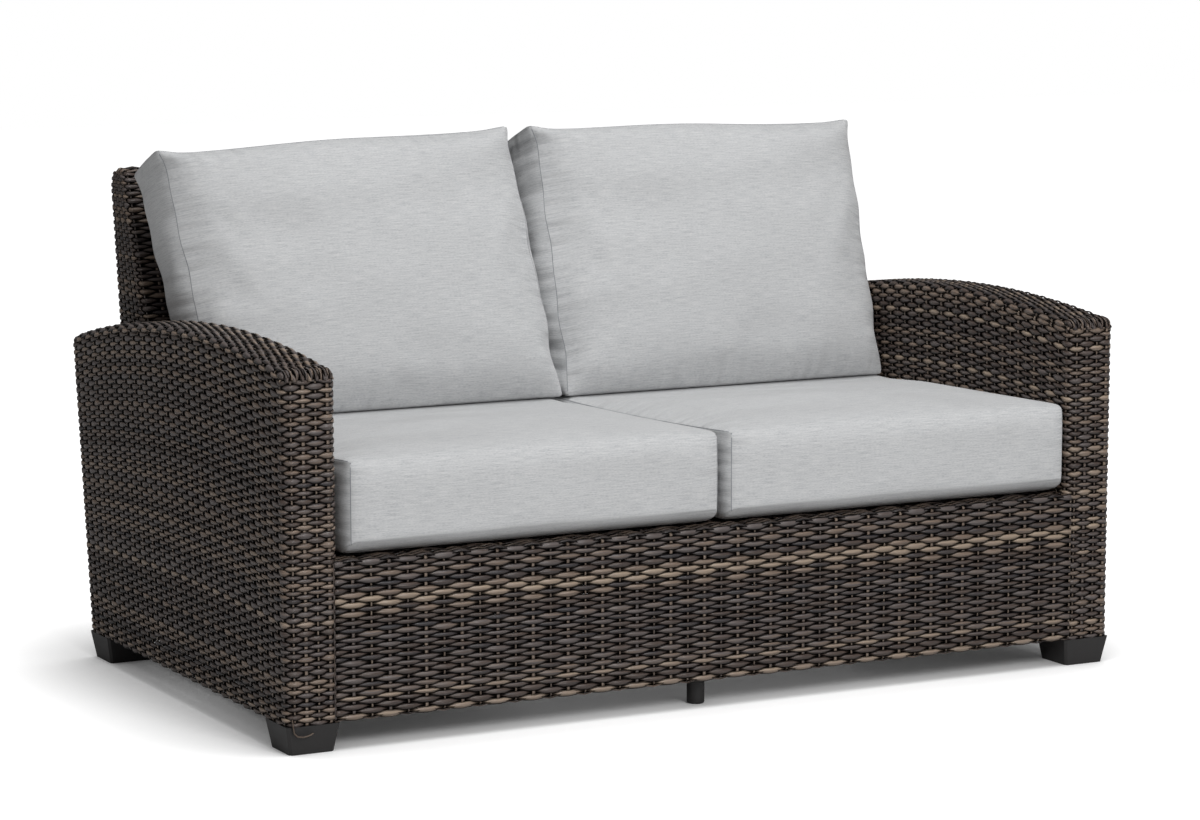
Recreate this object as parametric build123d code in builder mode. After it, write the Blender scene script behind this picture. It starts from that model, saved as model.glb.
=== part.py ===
# Woven patio loveseat: an aluminium tube frame, resin weave skins, four block feet,
# a centre support leg, two seat cushions and two back cushions with zipped covers.
# Millimetres. +X is to the right seen from the front, -Y is the front, +Z is up.
# The origin lies on the floor, under the middle of the whole seat.
import math
import os

from build123d import *

os.makedirs("parts", exist_ok=True)

# Driving sizes of the whole seat
overall_width = 1480
overall_depth = 940
back_height = 816
rear_overhang = 95
floor_clearance = 44
arm_width = 87
seat_height = 288

# Weave skins
weave_thickness = 4.2
fit = 0.3
front_corner_radius = 16
rear_corner_radius = 20
back_end_radius = 10
apron_depth = 34
apron_corner_radius = 6

# The arm's top is one long bow
arm_peak_height = 600
arm_peak_to_rear_length = 485
arm_bow_radius = 2390

# The back is a wedge with a round top
back_top_radius = 35
back_foot_depth = 145

# Round tube of the arms and back, square tube of the seat
tube_diameter = 19
tube_wall = 1.5
brace_diameter = 16
rail_size = 25
rail_wall = 2
rail_corner = 3
overrun = 10

# Block feet, their plates and fasteners
foot_bottom = 72
foot_chamfer = 4
plate_thickness = 4
plate_depth = 62
screw_diameter = 8
screw_head_diameter = 13
screw_head_height = 8
screw_socket = 6
screw_spare = 3
counterbore_diameter = 15
counterbore_depth = 26
hole_clearance = 0.3
nut_across_flats = 13
nut_height = 6.5

# Centre support leg
centre_support_offset = -20
leg_setback = 48
leg_diameter = 25
cap_wall = 1.5
cap_height = 34
cap_floor = 5
cap_rounding = 2.5

# Inner bars
cross_bar_count = 4
back_bar_share = 0.5
tie_height_share = 0.5

# Cushions
left_arm_clearance = 19
right_arm_clearance = 2
cushion_parting = 15
seat_rear_clearance = 12
seat_front_height = 438
seat_sit_height = 424
sit_to_toe_length = 36
seat_front_crown = 9
seat_side_sag = 3
seat_face_crown = 3
cushion_front_inset = 6
cushion_corner_draw = 6
cushion_edge_radius = 20
cushion_rear_radius = 12
toe_to_back_length = 144
back_face_run = 166
back_cushion_height = 870
back_top_run = 120
back_top_drop = 52
back_heel = 100
back_strip_run = 42
back_strip_rise = 48
back_front_crown = 24
back_seam_crown = 4
back_top_crown = 6
back_edge_radius = 14
rest_shares = (0.35, 0.72)
flat_rest_share = 0.15
left_back_lean = -4
left_back_sag = 22
left_back_shift = 12
right_back_lean = 1.1
right_back_shift = -2
cover_thickness = 1.5
soft_gap = 0.4
station_shares = (-0.5, -0.3, 0, 0.3, 0.5)
fullness_shares = (0, 0.8, 1, 0.8, 0)

# Zips on the hidden boxing
zip_end_clearance = 57.5
zip_tape_width = 26
zip_tape_thickness = 1
zip_teeth_width = 6
zip_teeth_height = 1.2
zip_end_stop = 6
slider_length = 12
slider_width = 10
slider_height = 4
slider_clearance = 0.2
pull_length = 26
pull_width = 6
pull_thickness = 1.5

# Colours for looking at the model
aluminium = (0.62, 0.63, 0.65)
resin = (0.24, 0.19, 0.16)
charcoal = (0.17, 0.17, 0.17)
fabric = (0.76, 0.77, 0.79)
foam = (0.93, 0.88, 0.68)
steel = (0.7, 0.7, 0.7)

# Places worked out from the sizes above
sides = {"left": -1, "right": 1}
half_width = overall_width / 2
inner_half_width = half_width - arm_width
arm_centre_x = (half_width + inner_half_width) / 2
front_y = -overall_depth / 2
base_rear_y = front_y + overall_depth - rear_overhang
arm_peak_y = base_rear_y - arm_peak_to_rear_length
back_foot_y = base_rear_y - back_foot_depth
tube_radius = tube_diameter / 2
skin = weave_thickness + fit
tube_inset = skin + tube_radius
outer_tube_x = half_width - tube_inset
inner_tube_x = inner_half_width + tube_inset
back_post_x = inner_half_width - tube_inset
seat_rail_top = seat_height - skin
seat_rail_low = seat_rail_top - rail_size
base_rail_low = floor_clearance + skin
base_rail_top = base_rail_low + rail_size
front_rail_y = front_y + skin + rail_size / 2
post_foot = floor_clearance + plate_thickness
back_centre = Vector(front_y + overall_depth - back_top_radius, back_height - back_top_radius)


# Slopes of the back, as points in a side view with the depth first and the height second
def tangent_point(foot, side):
    """Where a line from a foot point touches the round top of the back."""
    gap = back_centre - foot
    reach = math.degrees(math.asin(back_top_radius / gap.length))
    length = math.sqrt(gap.length ** 2 - back_top_radius ** 2)
    heading = math.degrees(math.atan2(gap.Y, gap.X)) - side * reach
    return foot + Vector(length, 0).rotate(Axis.Z, heading)


rear_foot = Vector(base_rear_y, floor_clearance)
face_foot = Vector(back_foot_y, seat_height)
rear_top = tangent_point(rear_foot, 1)
face_top = tangent_point(face_foot, -1)
rear_slope = (rear_top - rear_foot).normalized()
face_slope = (face_top - face_foot).normalized()
rear_way = Vector(0, rear_slope.X, rear_slope.Y)
face_way = Vector(0, face_slope.X, face_slope.Y)


def rear_plane_y(height, inset=0):
    run = (height - floor_clearance) * rear_slope.X / rear_slope.Y
    return base_rear_y + run - inset / rear_slope.Y


def back_face_y(height, inset=0):
    run = (height - seat_height) * face_slope.X / face_slope.Y
    return back_foot_y + run + inset / face_slope.Y


# The bow of the arms
def ridge_height(y, inset=0):
    run = y - arm_peak_y
    radius = arm_bow_radius - inset
    return arm_peak_height - arm_bow_radius + math.sqrt(radius ** 2 - run ** 2)


def rear_corner(inset=0):
    """Where the bow meets the raked rear, both drawn in by an inset."""
    height = arm_peak_height
    for _ in range(5):
        height = ridge_height(rear_plane_y(height, inset), inset)
    return rear_plane_y(height, inset), height


def nearest(shape, *point):
    return shape.vertices().sort_by_distance(Vector(*point))[0]


def save(piece, name, color):
    piece.label = name
    piece.color = Color(*color)
    export_step(piece, f"parts/{name}.step")
    print(name, len(piece.solids()), round(piece.volume / 1000, 1), "cm3")


# Solid shapes that the skins are cut from
def arm_block(x_low, x_high, inset, floor):
    """The arm as a solid block, drawn in by an inset and standing at a floor height."""
    front = front_y + inset
    top_front = (front, ridge_height(front, inset))
    top_rear = rear_corner(inset)
    peak = (arm_peak_y, arm_peak_height - inset)
    with BuildPart() as block:
        with BuildSketch(Plane.YZ.offset(x_low + inset)) as side_view:
            with BuildLine():
                Polyline(top_front, (front, floor), (rear_plane_y(floor, inset), floor), top_rear)
                ThreePointArc(top_front, peak, top_rear)
            make_face()
            fillet(nearest(side_view, *top_front), front_corner_radius - inset)
            fillet(nearest(side_view, *top_rear), rear_corner_radius - inset)
        extrude(amount=x_high - x_low - 2 * inset)
        ends = block.faces().filter_by(Axis.X)
        outline = [edge for edge in ends.edges() if edge.center().Z > floor + fit]
        fillet(outline, tube_inset - inset)
    return block.part


def back_block(inset, floor):
    """The wedge of the back as a solid block, open below at a floor height."""
    shrink = (back_top_radius - inset) / back_top_radius
    rear_point = back_centre + (rear_top - back_centre) * shrink
    face_point = back_centre + (face_top - back_centre) * shrink
    crown = back_centre + Vector(0, back_top_radius - inset)
    half_length = inner_half_width - inset
    with BuildPart() as block:
        with BuildSketch(Plane.YZ.offset(-half_length)):
            with BuildLine():
                face_low = (back_face_y(floor, inset), floor)
                rear_low = (rear_plane_y(floor, inset), floor)
                Polyline(face_point, face_low, rear_low, rear_point)
                ThreePointArc(rear_point, crown, face_point)
            make_face()
        extrude(amount=2 * half_length)
    return block.part


def bowed_rod(x, radius):
    """A rod under the arm's ridge, from over the front post to the rear corner."""
    start_y = front_y + tube_inset
    end_y = rear_corner(tube_inset)[0] - rear_corner_radius + tube_inset
    start = (start_y, ridge_height(start_y, tube_inset))
    end = (end_y, ridge_height(end_y, tube_inset))
    peak = (arm_peak_y, arm_peak_height - tube_inset)
    with BuildPart() as rod:
        with BuildLine(Plane.YZ.offset(x)) as path:
            ThreePointArc(start, peak, end)
        with BuildSketch(Plane(origin=path.line @ 0, z_dir=path.line % 0)):
            Circle(radius)
        sweep()
    return rod.part


def upright_tube(x, y, low, high, way, diameter):
    """A round tube with level ends that rises along a direction."""
    with BuildPart() as tube:
        with BuildSketch(Plane.XY.offset(low)):
            with Locations((x, y)):
                Circle(diameter / 2)
                Circle(diameter / 2 - tube_wall, mode=Mode.SUBTRACT)
        extrude(amount=(high - low) / way.Z, dir=way)
    return tube.part


def level_tube(start, way, length, diameter):
    with BuildPart() as tube:
        with BuildSketch(Plane(origin=start, z_dir=way)):
            Circle(diameter / 2)
            Circle(diameter / 2 - tube_wall, mode=Mode.SUBTRACT)
        extrude(amount=length)
    return tube.part


def square_tube(start, way, length):
    across = Vector(0, 0, 1).cross(Vector(*way))
    with BuildPart() as tube:
        with BuildSketch(Plane(origin=start, x_dir=across, z_dir=way)):
            RectangleRounded(rail_size, rail_size, rail_corner)
            hollow = rail_size - 2 * rail_wall
            RectangleRounded(hollow, hollow, rail_corner - rail_wall, mode=Mode.SUBTRACT)
        extrude(amount=length)
    return tube.part


# Arm frames: bowed top rails, posts coped under them and base rails between the posts
post_top_gap = rear_corner_radius - tube_inset
rear_post_y = rear_plane_y(post_foot, tube_inset)
base_tube_z = post_foot + tube_radius
tube_lines = {"outer": outer_tube_x, "inner": inner_tube_x}
for side, sign in sides.items():
    for line, distance in tube_lines.items():
        x = sign * distance
        front_post_y = front_y + tube_inset
        front_top = ridge_height(front_post_y, tube_inset) - post_top_gap
        rear_top_height = rear_corner(tube_inset)[1] - post_top_gap
        with BuildPart() as front_post:
            add(upright_tube(x, front_post_y, post_foot, front_top, Vector(0, 0, 1), tube_diameter))
            add(bowed_rod(x, tube_radius), mode=Mode.SUBTRACT)
        save(front_post.part, f"{side}_{line}_front_post", aluminium)
        with BuildPart() as rear_post:
            add(upright_tube(x, rear_post_y, post_foot, rear_top_height, rear_way, tube_diameter))
            add(bowed_rod(x, tube_radius), mode=Mode.SUBTRACT)
        save(rear_post.part, f"{side}_{line}_rear_post", aluminium)
    with BuildPart() as top_rails:
        for distance in tube_lines.values():
            add(bowed_rod(sign * distance, tube_radius))
            add(bowed_rod(sign * distance, tube_radius - tube_wall), mode=Mode.SUBTRACT)
    save(top_rails.part, f"{side}_arm_top_rails", aluminium)
    with BuildPart() as base_rails:
        rail_start = front_y + tube_inset + tube_radius
        rail_end = rear_post_y - tube_radius
        for distance in tube_lines.values():
            start = (sign * distance, rail_start, base_tube_z)
            add(level_tube(start, (0, 1, 0), rail_end - rail_start, tube_diameter))
    save(base_rails.part, f"{side}_arm_base_rails", aluminium)

with BuildPart() as arm_ties:
    tie_z = post_foot + (arm_peak_height - post_foot) * tie_height_share
    tie_places = [
        (front_y + tube_inset, tie_z),
        (rear_plane_y(tie_z, tube_inset), tie_z),
        (arm_peak_y, arm_peak_height - tube_inset),
        (arm_peak_y, base_tube_z),
    ]
    tie_length = outer_tube_x - inner_tube_x - tube_diameter
    for sign in sides.values():
        tie_x = sign * (inner_tube_x + tube_radius)
        for y, z in tie_places:
            add(level_tube((tie_x, y, z), (sign, 0, 0), tie_length, brace_diameter))
save(arm_ties.part, "arm_ties", aluminium)

# Seat frame
rail_reach = inner_half_width + skin
side_rail_x = inner_half_width - fit - rail_size / 2
side_rail_end = rear_plane_y(seat_rail_low, tube_inset + tube_radius)
side_rail_start = front_rail_y + rail_size / 2
seat_rail_z = seat_rail_low + rail_size / 2
base_rail_z = base_rail_low + rail_size / 2
rear_base_y = rear_plane_y(base_rail_low, skin) - rail_size / 2
cross_rails = {
    "seat_front_rail": (front_rail_y, seat_rail_z, rail_reach),
    "front_base_rail": (front_rail_y, base_rail_z, rail_reach),
    "rear_base_rail": (rear_base_y, base_rail_z, rail_reach),
    "seat_rear_rail": (back_foot_y, seat_rail_z, side_rail_x - rail_size / 2),
}
for name, (y, z, reach) in cross_rails.items():
    save(square_tube((-reach, y, z), (1, 0, 0), 2 * reach), name, aluminium)
for side, sign in sides.items():
    start = (sign * side_rail_x, side_rail_start, seat_rail_z)
    length = side_rail_end - side_rail_start
    save(square_tube(start, (0, 1, 0), length), f"{side}_seat_side_rail", aluminium)
beam_length = back_foot_y - rail_size / 2 - side_rail_start
beam_start = (centre_support_offset, side_rail_start, seat_rail_z)
save(square_tube(beam_start, (0, 1, 0), beam_length), "seat_centre_beam", aluminium)

with BuildPart() as cross_bars:
    bar_z = seat_rail_top - brace_diameter / 2
    bar_pitch = beam_length / (cross_bar_count + 1)
    beam_half = rail_size / 2
    for number in range(cross_bar_count):
        y = side_rail_start + bar_pitch * (number + 1)
        for sign in sides.values():
            start_x = centre_support_offset + sign * beam_half
            length = abs(sign * (side_rail_x - beam_half) - start_x)
            add(level_tube((start_x, y, bar_z), (sign, 0, 0), length, brace_diameter))
save(cross_bars.part, "seat_cross_bars", aluminium)

up = Vector(0, 0, 1)
apron_span = (base_rail_top, seat_rail_low)
apron_upright = upright_tube(centre_support_offset, front_rail_y, *apron_span, up, brace_diameter)
save(apron_upright, "apron_centre_upright", aluminium)

# Back frame
top_rail_radius = back_top_radius - skin
rear_post_top = back_centre.Y - top_rail_radius / 2
with BuildPart() as top_rail_form:
    with BuildSketch(Plane.YZ.offset(-inner_half_width)):
        with Locations((back_centre.X, back_centre.Y)):
            Circle(top_rail_radius)
    extrude(amount=2 * inner_half_width)
rail_half_length = inner_half_width - skin
top_rail_start = (-rail_half_length, back_centre.X, back_centre.Y)
top_rail = level_tube(top_rail_start, (1, 0, 0), 2 * rail_half_length, 2 * top_rail_radius)
save(top_rail, "back_top_rail", aluminium)

back_posts = {
    "front": (back_face_y(seat_rail_top, tube_inset), seat_rail_top, back_centre.Y, face_way),
    "rear": (rear_plane_y(base_rail_top, tube_inset), base_rail_top, rear_post_top, rear_way),
}
for side, sign in sides.items():
    for line, (y, low, high, way) in back_posts.items():
        with BuildPart() as back_post:
            add(upright_tube(sign * back_post_x, y, low, high, way, tube_diameter))
            add(top_rail_form.part, mode=Mode.SUBTRACT)
        save(back_post.part, f"{side}_back_{line}_post", aluminium)

with BuildPart() as rear_upright:
    upright_y = rear_plane_y(base_rail_top, skin + brace_diameter / 2)
    rear_span = (base_rail_top, rear_post_top)
    add(upright_tube(centre_support_offset, upright_y, *rear_span, rear_way, brace_diameter))
    add(top_rail_form.part, mode=Mode.SUBTRACT)
save(rear_upright.part, "rear_centre_upright", aluminium)

bar_half = back_post_x - tube_radius
bar_z = seat_height + (back_height - seat_height) * back_bar_share
bar_start = (-bar_half, back_face_y(bar_z, tube_inset), bar_z)
back_bar = level_tube(bar_start, (1, 0, 0), 2 * bar_half, brace_diameter)
save(back_bar, "back_cross_bar", aluminium)

# Corner plates, feet, screws and nuts
foot_top = arm_width
foot_ys = {"front": front_y + foot_top / 2, "rear": base_rear_y - foot_top / 2}
plate_ys = {
    "front": front_y + skin + plate_depth / 2,
    "rear": base_rear_y - skin / rear_slope.Y - plate_depth / 2,
}
corner_points = [
    (sign * arm_centre_x, foot_ys[end], plate_ys[end]) for sign in sides.values() for end in foot_ys
]
with BuildPart() as corner_plates:
    for x, foot_y, plate_y in corner_points:
        with BuildSketch(Plane.XY.offset(floor_clearance)):
            with Locations((x, plate_y)):
                RectangleRounded(arm_width - 2 * skin, plate_depth, tube_radius)
            with Locations((x, foot_y)):
                Circle(screw_diameter / 2 + hole_clearance, mode=Mode.SUBTRACT)
        extrude(amount=plate_thickness)
save(corner_plates.part, "corner_plates", aluminium)

for side, sign in sides.items():
    for end, y in foot_ys.items():
        x = sign * arm_centre_x
        with BuildPart() as foot:
            for height, width in ((0, foot_bottom), (floor_clearance, foot_top)):
                with BuildSketch(Plane.XY.offset(height)) as outline:
                    with Locations((x, y)):
                        Rectangle(width, width)
                    chamfer(outline.vertices(), foot_chamfer)
            loft()
            with Locations(Plane(origin=(x, y, 0), z_dir=(0, 0, -1))):
                CounterBoreHole(
                    screw_diameter / 2 + hole_clearance, counterbore_diameter / 2, counterbore_depth
                )
        save(foot.part, f"{side}_{end}_foot", charcoal)

nut_low = floor_clearance + plate_thickness
with BuildPart() as foot_screws:
    head_low = counterbore_depth - screw_head_height
    for x, y, _ in corner_points:
        with BuildSketch(Plane.XY.offset(head_low)):
            with Locations((x, y)):
                Circle(screw_head_diameter / 2)
        extrude(amount=screw_head_height)
        with BuildSketch(Plane.XY.offset(counterbore_depth)):
            with Locations((x, y)):
                Circle(screw_diameter / 2)
        extrude(amount=nut_low + nut_height + screw_spare - counterbore_depth)
        with BuildSketch(Plane.XY.offset(head_low)):
            with Locations((x, y)):
                RegularPolygon(screw_socket / 2, 6, major_radius=False)
        extrude(amount=screw_head_height / 2, mode=Mode.SUBTRACT)
save(foot_screws.part, "foot_screws", steel)

with BuildPart() as foot_nuts:
    for x, y, _ in corner_points:
        with BuildSketch(Plane.XY.offset(nut_low)):
            with Locations((x, y)):
                RegularPolygon(nut_across_flats / 2, 6, major_radius=False)
                Circle(screw_diameter / 2 + hole_clearance / 2, mode=Mode.SUBTRACT)
        extrude(amount=nut_height)
save(foot_nuts.part, "foot_nuts", steel)

# Centre support leg and its cap
leg_y = front_y + leg_setback
leg = upright_tube(centre_support_offset, leg_y, cap_floor, seat_rail_low, up, leg_diameter)
save(leg, "centre_leg", charcoal)
with BuildPart() as leg_cap:
    with BuildSketch():
        with Locations((centre_support_offset, leg_y)):
            Circle(leg_diameter / 2 + cap_wall)
    extrude(amount=cap_height)
    fillet(leg_cap.edges().group_by(Axis.Z)[0], cap_rounding)
    with BuildSketch(Plane.XY.offset(cap_floor)):
        with Locations((centre_support_offset, leg_y)):
            Circle(leg_diameter / 2 + fit)
    extrude(amount=cap_height, mode=Mode.SUBTRACT)
save(leg_cap.part, "centre_leg_cap", charcoal)

# Weave skins
rail_holes = [(front_rail_y, seat_rail_z), (front_rail_y, base_rail_z), (rear_base_y, base_rail_z)]
rail_hole = rail_size + 2 * fit
for side, sign in sides.items():
    x_low, x_high = sorted((sign * inner_half_width, sign * half_width))
    with BuildPart() as arm_weave:
        add(arm_block(x_low, x_high, 0, floor_clearance))
        add(arm_block(x_low, x_high, weave_thickness, floor_clearance - overrun), mode=Mode.SUBTRACT)
        for y, z in rail_holes:
            with Locations((sign * inner_half_width, y, z)):
                Box(2 * skin, rail_hole, rail_hole, mode=Mode.SUBTRACT)
    save(arm_weave.part, f"{side}_arm_weave", resin)

with BuildPart() as front_apron:
    apron_height = seat_height - floor_clearance
    apron_middle = floor_clearance + apron_height / 2
    with BuildSketch(Plane.YZ.offset(-inner_half_width)):
        with Locations((front_y + apron_depth, apron_middle)):
            RectangleRounded(2 * apron_depth, apron_height, apron_corner_radius)
            inner = (2 * (apron_depth - weave_thickness), apron_height - 2 * weave_thickness)
            RectangleRounded(*inner, apron_corner_radius - weave_thickness, mode=Mode.SUBTRACT)
        with Locations((front_y + 2 * apron_depth, apron_middle)):
            Rectangle(2 * apron_depth, apron_height, mode=Mode.SUBTRACT)
    extrude(amount=2 * inner_half_width)
save(front_apron.part, "front_apron_weave", resin)

with BuildPart() as rear_apron:
    low, lip_top = floor_clearance, floor_clearance + weave_thickness
    lip_y = base_rear_y - apron_depth
    with BuildSketch(Plane.YZ.offset(-inner_half_width)):
        with BuildLine():
            Polyline(
                (base_rear_y, low),
                (rear_plane_y(seat_height), seat_height),
                (rear_plane_y(seat_height, weave_thickness), seat_height),
                (rear_plane_y(lip_top, weave_thickness), lip_top),
                (lip_y, lip_top),
                (lip_y, low),
                close=True,
            )
        make_face()
    extrude(amount=2 * inner_half_width)
save(rear_apron.part, "rear_apron_weave", resin)

with BuildPart() as back_weave:
    add(back_block(0, seat_height))
    ends = back_weave.faces().filter_by(Axis.X)
    fillet([edge for edge in ends.edges() if edge.center().Z > seat_height + fit], back_end_radius)
    add(back_block(weave_thickness, seat_height - overrun), mode=Mode.SUBTRACT)
save(back_weave.part, "back_weave", resin)

deck_front = front_y + apron_depth
deck_rear = back_face_y(seat_rail_top, weave_thickness)
with BuildPart() as seat_deck:
    with BuildSketch(Plane.XY.offset(seat_height - weave_thickness)):
        with Locations((0, (deck_front + deck_rear) / 2)):
            Rectangle(2 * inner_half_width, deck_rear - deck_front)
    extrude(amount=weave_thickness)
save(seat_deck.part, "seat_deck_weave", resin)


# Cushions: crowned sections in side view, one at each station across the width
cushion_room = 2 * inner_half_width - left_arm_clearance - right_arm_clearance
cushion_width = (cushion_room - cushion_parting) / 2
left_cushion_edge = left_arm_clearance - inner_half_width
right_cushion_edge = inner_half_width - right_arm_clearance - cushion_width
seat_rear_y = back_foot_y - seat_rear_clearance
cushion_toe = Vector(back_foot_y - toe_to_back_length, seat_sit_height + soft_gap)
face_tilt = Vector(back_face_run, back_cushion_height - cushion_toe.Y).normalized()
zip_length = cushion_width - 2 * zip_end_clearance


def drawn_in(points, inset):
    """The corners of a closed outline moved inward, the same distance from each side."""
    moved = []
    for number, point in enumerate(points):
        before = (point - points[number - 1]).normalized()
        after = (points[(number + 1) % len(points)] - point).normalized()
        normal_before = Vector(-before.Y, before.X)
        normal_after = Vector(-after.Y, after.X)
        reach = inset / (1 + normal_before.dot(normal_after))
        moved.append(point + (normal_before + normal_after) * reach)
    return moved


def outline_side(start, end, bulge):
    if bulge == 0:
        Line(start, end)
        return
    along = (end - start).normalized()
    middle = (start + end) * 0.5 + Vector(along.Y, -along.X) * bulge
    ThreePointArc(start, middle, end)


def tangent_bulge(chord, way):
    """How far an arc swells from its chord when it runs smoothly into a direction."""
    return chord.length / 2 * math.tan(math.radians(chord.get_angle(way)) / 2)


def section_plane(x, lean):
    """A side-view plane that leans sideways about the foot of the back cushion's face."""
    turning = Axis((0, 0, 0), (0, face_tilt.Y, -face_tilt.X))
    across = Vector(1, 0, 0).rotate(turning, lean)
    rearward = Vector(0, 1, 0).rotate(turning, lean)
    return Plane(origin=(x, cushion_toe.X, cushion_toe.Y), x_dir=rearward, z_dir=across)


def cushion_form(cushion, inset):
    """A solid lofted through the sections, from one side panel to the other."""
    width = cushion_width - 2 * inset
    centre_x = cushion["edge"] + cushion_width / 2
    with BuildPart() as form:
        for share, fullness in zip(station_shares, fullness_shares):
            sag = cushion["sag"] * (station_shares[-1] - share)
            points, bulges, radii = cushion["section"](fullness, sag)
            corners = [point - cushion_toe for point in drawn_in(points, inset)]
            plane = section_plane(centre_x + share * width, cushion["lean"])
            with BuildSketch(plane) as outline:
                with BuildLine():
                    for number, corner in enumerate(corners):
                        outline_side(corner, corners[(number + 1) % len(corners)], bulges[number])
                make_face()
                for corner, radius in zip(corners, radii):
                    if radius > inset:
                        fillet(nearest(outline, corner.X, corner.Y), radius - inset)
        loft()
    return form.part


def seat_section(fullness, sag):
    face = front_y + cushion_front_inset + cushion_corner_draw * (1 - fullness)
    bottom = seat_height + soft_gap
    points = [
        Vector(face, bottom),
        Vector(seat_rear_y, bottom),
        Vector(seat_rear_y, seat_sit_height - sag),
        Vector(cushion_toe.X - sit_to_toe_length, seat_sit_height - sag),
        Vector(face, seat_front_height),
    ]
    crown = seat_front_crown * fullness - seat_side_sag * (1 - fullness)
    bulges = [0, 0, 0, crown, seat_face_crown]
    radii = [cushion_edge_radius, cushion_rear_radius, cushion_rear_radius, 0, cushion_edge_radius]
    return points, bulges, radii


def back_section(fullness, sag):
    heel = cushion_toe + Vector(back_heel, 0)
    strip_top = heel + Vector(back_strip_run, back_strip_rise)
    top_face = Vector(cushion_toe.X + back_face_run, back_cushion_height - sag)
    top_rear = top_face + Vector(back_top_run, -back_top_drop)
    chord = top_rear - strip_top
    push_share = flat_rest_share + (1 - flat_rest_share) * fullness
    rests = []
    for share in rest_shares:
        on_chord = strip_top + chord * share
        rest_y = back_face_y(on_chord.Y) - soft_gap / face_slope.Y
        rests.append(on_chord + Vector((rest_y - on_chord.X) * push_share, 0))
    lower, upper = rests
    rest_way = upper - lower
    low_bulge = tangent_bulge(lower - strip_top, rest_way)
    high_bulge = tangent_bulge(top_rear - upper, rest_way)
    points = [cushion_toe, heel, strip_top, lower, upper, top_rear, top_face]
    face_crown = back_seam_crown + (back_front_crown - back_seam_crown) * fullness
    bulges = [0, 0, low_bulge, 0, high_bulge, back_top_crown, face_crown]
    radii = [back_edge_radius, back_edge_radius, 0, 0, 0, back_edge_radius, back_edge_radius]
    return points, bulges, radii


def zip_pieces(plane, name):
    """A zip chain on a flat boxing, and its slider with a pull, closed at the left end."""
    with BuildPart() as chain:
        with BuildSketch(plane):
            RectangleRounded(zip_length, zip_tape_width, zip_tape_thickness)
        extrude(amount=zip_tape_thickness)
        with BuildSketch(plane.offset(zip_tape_thickness)):
            Rectangle(zip_length - 2 * zip_end_stop, zip_teeth_width)
        extrude(amount=zip_teeth_height)
    save(chain.part, f"{name}_zip", charcoal)
    slider_x = (slider_length - zip_length) / 2 + zip_end_stop
    seat = plane.offset(zip_tape_thickness + slider_clearance)
    channel_width = zip_teeth_width + 2 * slider_clearance
    channel_height = zip_teeth_height + slider_clearance
    with BuildPart() as slider:
        with BuildSketch(seat):
            with Locations((slider_x, 0)):
                RectangleRounded(slider_length, slider_width, zip_tape_thickness)
        extrude(amount=slider_height)
        with BuildSketch(seat):
            with Locations((slider_x, 0)):
                Rectangle(2 * slider_length, channel_width)
        extrude(amount=channel_height, mode=Mode.SUBTRACT)
        with BuildSketch(seat.offset(slider_height)):
            with Locations((slider_x + pull_length / 2, 0)):
                SlotOverall(pull_length, pull_width)
            with Locations((slider_x + pull_length - pull_width, 0)):
                Circle(pull_width / 4, mode=Mode.SUBTRACT)
        extrude(amount=pull_thickness)
    save(slider.part, f"{name}_zip_slider", steel)


cushions = {
    "left_seat_cushion": {"section": seat_section, "edge": left_cushion_edge, "lean": 0, "sag": 0},
    "right_seat_cushion": {"section": seat_section, "edge": right_cushion_edge, "lean": 0, "sag": 0},
    "left_back_cushion": {
        "section": back_section,
        "edge": left_cushion_edge + left_back_shift,
        "lean": left_back_lean,
        "sag": left_back_sag,
    },
    "right_back_cushion": {
        "section": back_section,
        "edge": right_cushion_edge + right_back_shift,
        "lean": right_back_lean,
        "sag": 0,
    },
}
for name, cushion in cushions.items():
    with BuildPart() as cover:
        add(cushion_form(cushion, 0))
        add(cushion_form(cushion, cover_thickness), mode=Mode.SUBTRACT)
    save(cover.part, f"{name}_cover", fabric)
    save(cushion_form(cushion, cover_thickness + fit), f"{name}_foam", foam)
    middle = section_plane(cushion["edge"] + cushion_width / 2, cushion["lean"])
    if cushion["section"] is seat_section:
        seat_rear = Vector(seat_rear_y, (seat_height + seat_sit_height) / 2)
        zip_at = seat_rear - cushion_toe
        rising = middle.y_dir
    else:
        zip_at = Vector(back_heel + back_strip_run / 2, back_strip_rise / 2)
        rising = middle.x_dir * back_strip_run + middle.y_dir * back_strip_rise
    outward = rising.cross(Vector(1, 0, 0))
    origin = middle.from_local_coords((zip_at.X, zip_at.Y, 0))
    zip_pieces(Plane(origin=origin, x_dir=(1, 0, 0), z_dir=outward), name)
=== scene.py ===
import math
import random

import bpy
import numpy as np
from mathutils import Matrix, Vector


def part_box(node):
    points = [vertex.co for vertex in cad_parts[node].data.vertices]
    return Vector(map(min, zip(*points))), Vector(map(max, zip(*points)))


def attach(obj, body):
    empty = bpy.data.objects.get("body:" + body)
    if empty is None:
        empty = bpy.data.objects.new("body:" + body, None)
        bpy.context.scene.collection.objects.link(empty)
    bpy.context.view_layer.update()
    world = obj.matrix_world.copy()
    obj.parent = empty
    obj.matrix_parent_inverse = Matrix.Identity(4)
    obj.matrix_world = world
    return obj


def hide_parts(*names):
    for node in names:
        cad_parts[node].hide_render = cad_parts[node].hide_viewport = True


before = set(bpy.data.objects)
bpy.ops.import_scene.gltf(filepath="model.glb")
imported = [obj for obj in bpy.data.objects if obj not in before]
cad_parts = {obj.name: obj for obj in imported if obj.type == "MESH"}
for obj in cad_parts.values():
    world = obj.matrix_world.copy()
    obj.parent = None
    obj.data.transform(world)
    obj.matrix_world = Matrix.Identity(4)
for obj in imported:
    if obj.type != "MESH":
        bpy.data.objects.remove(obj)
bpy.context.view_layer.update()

print("frame loaded:", len(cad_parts), "nodes")


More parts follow.
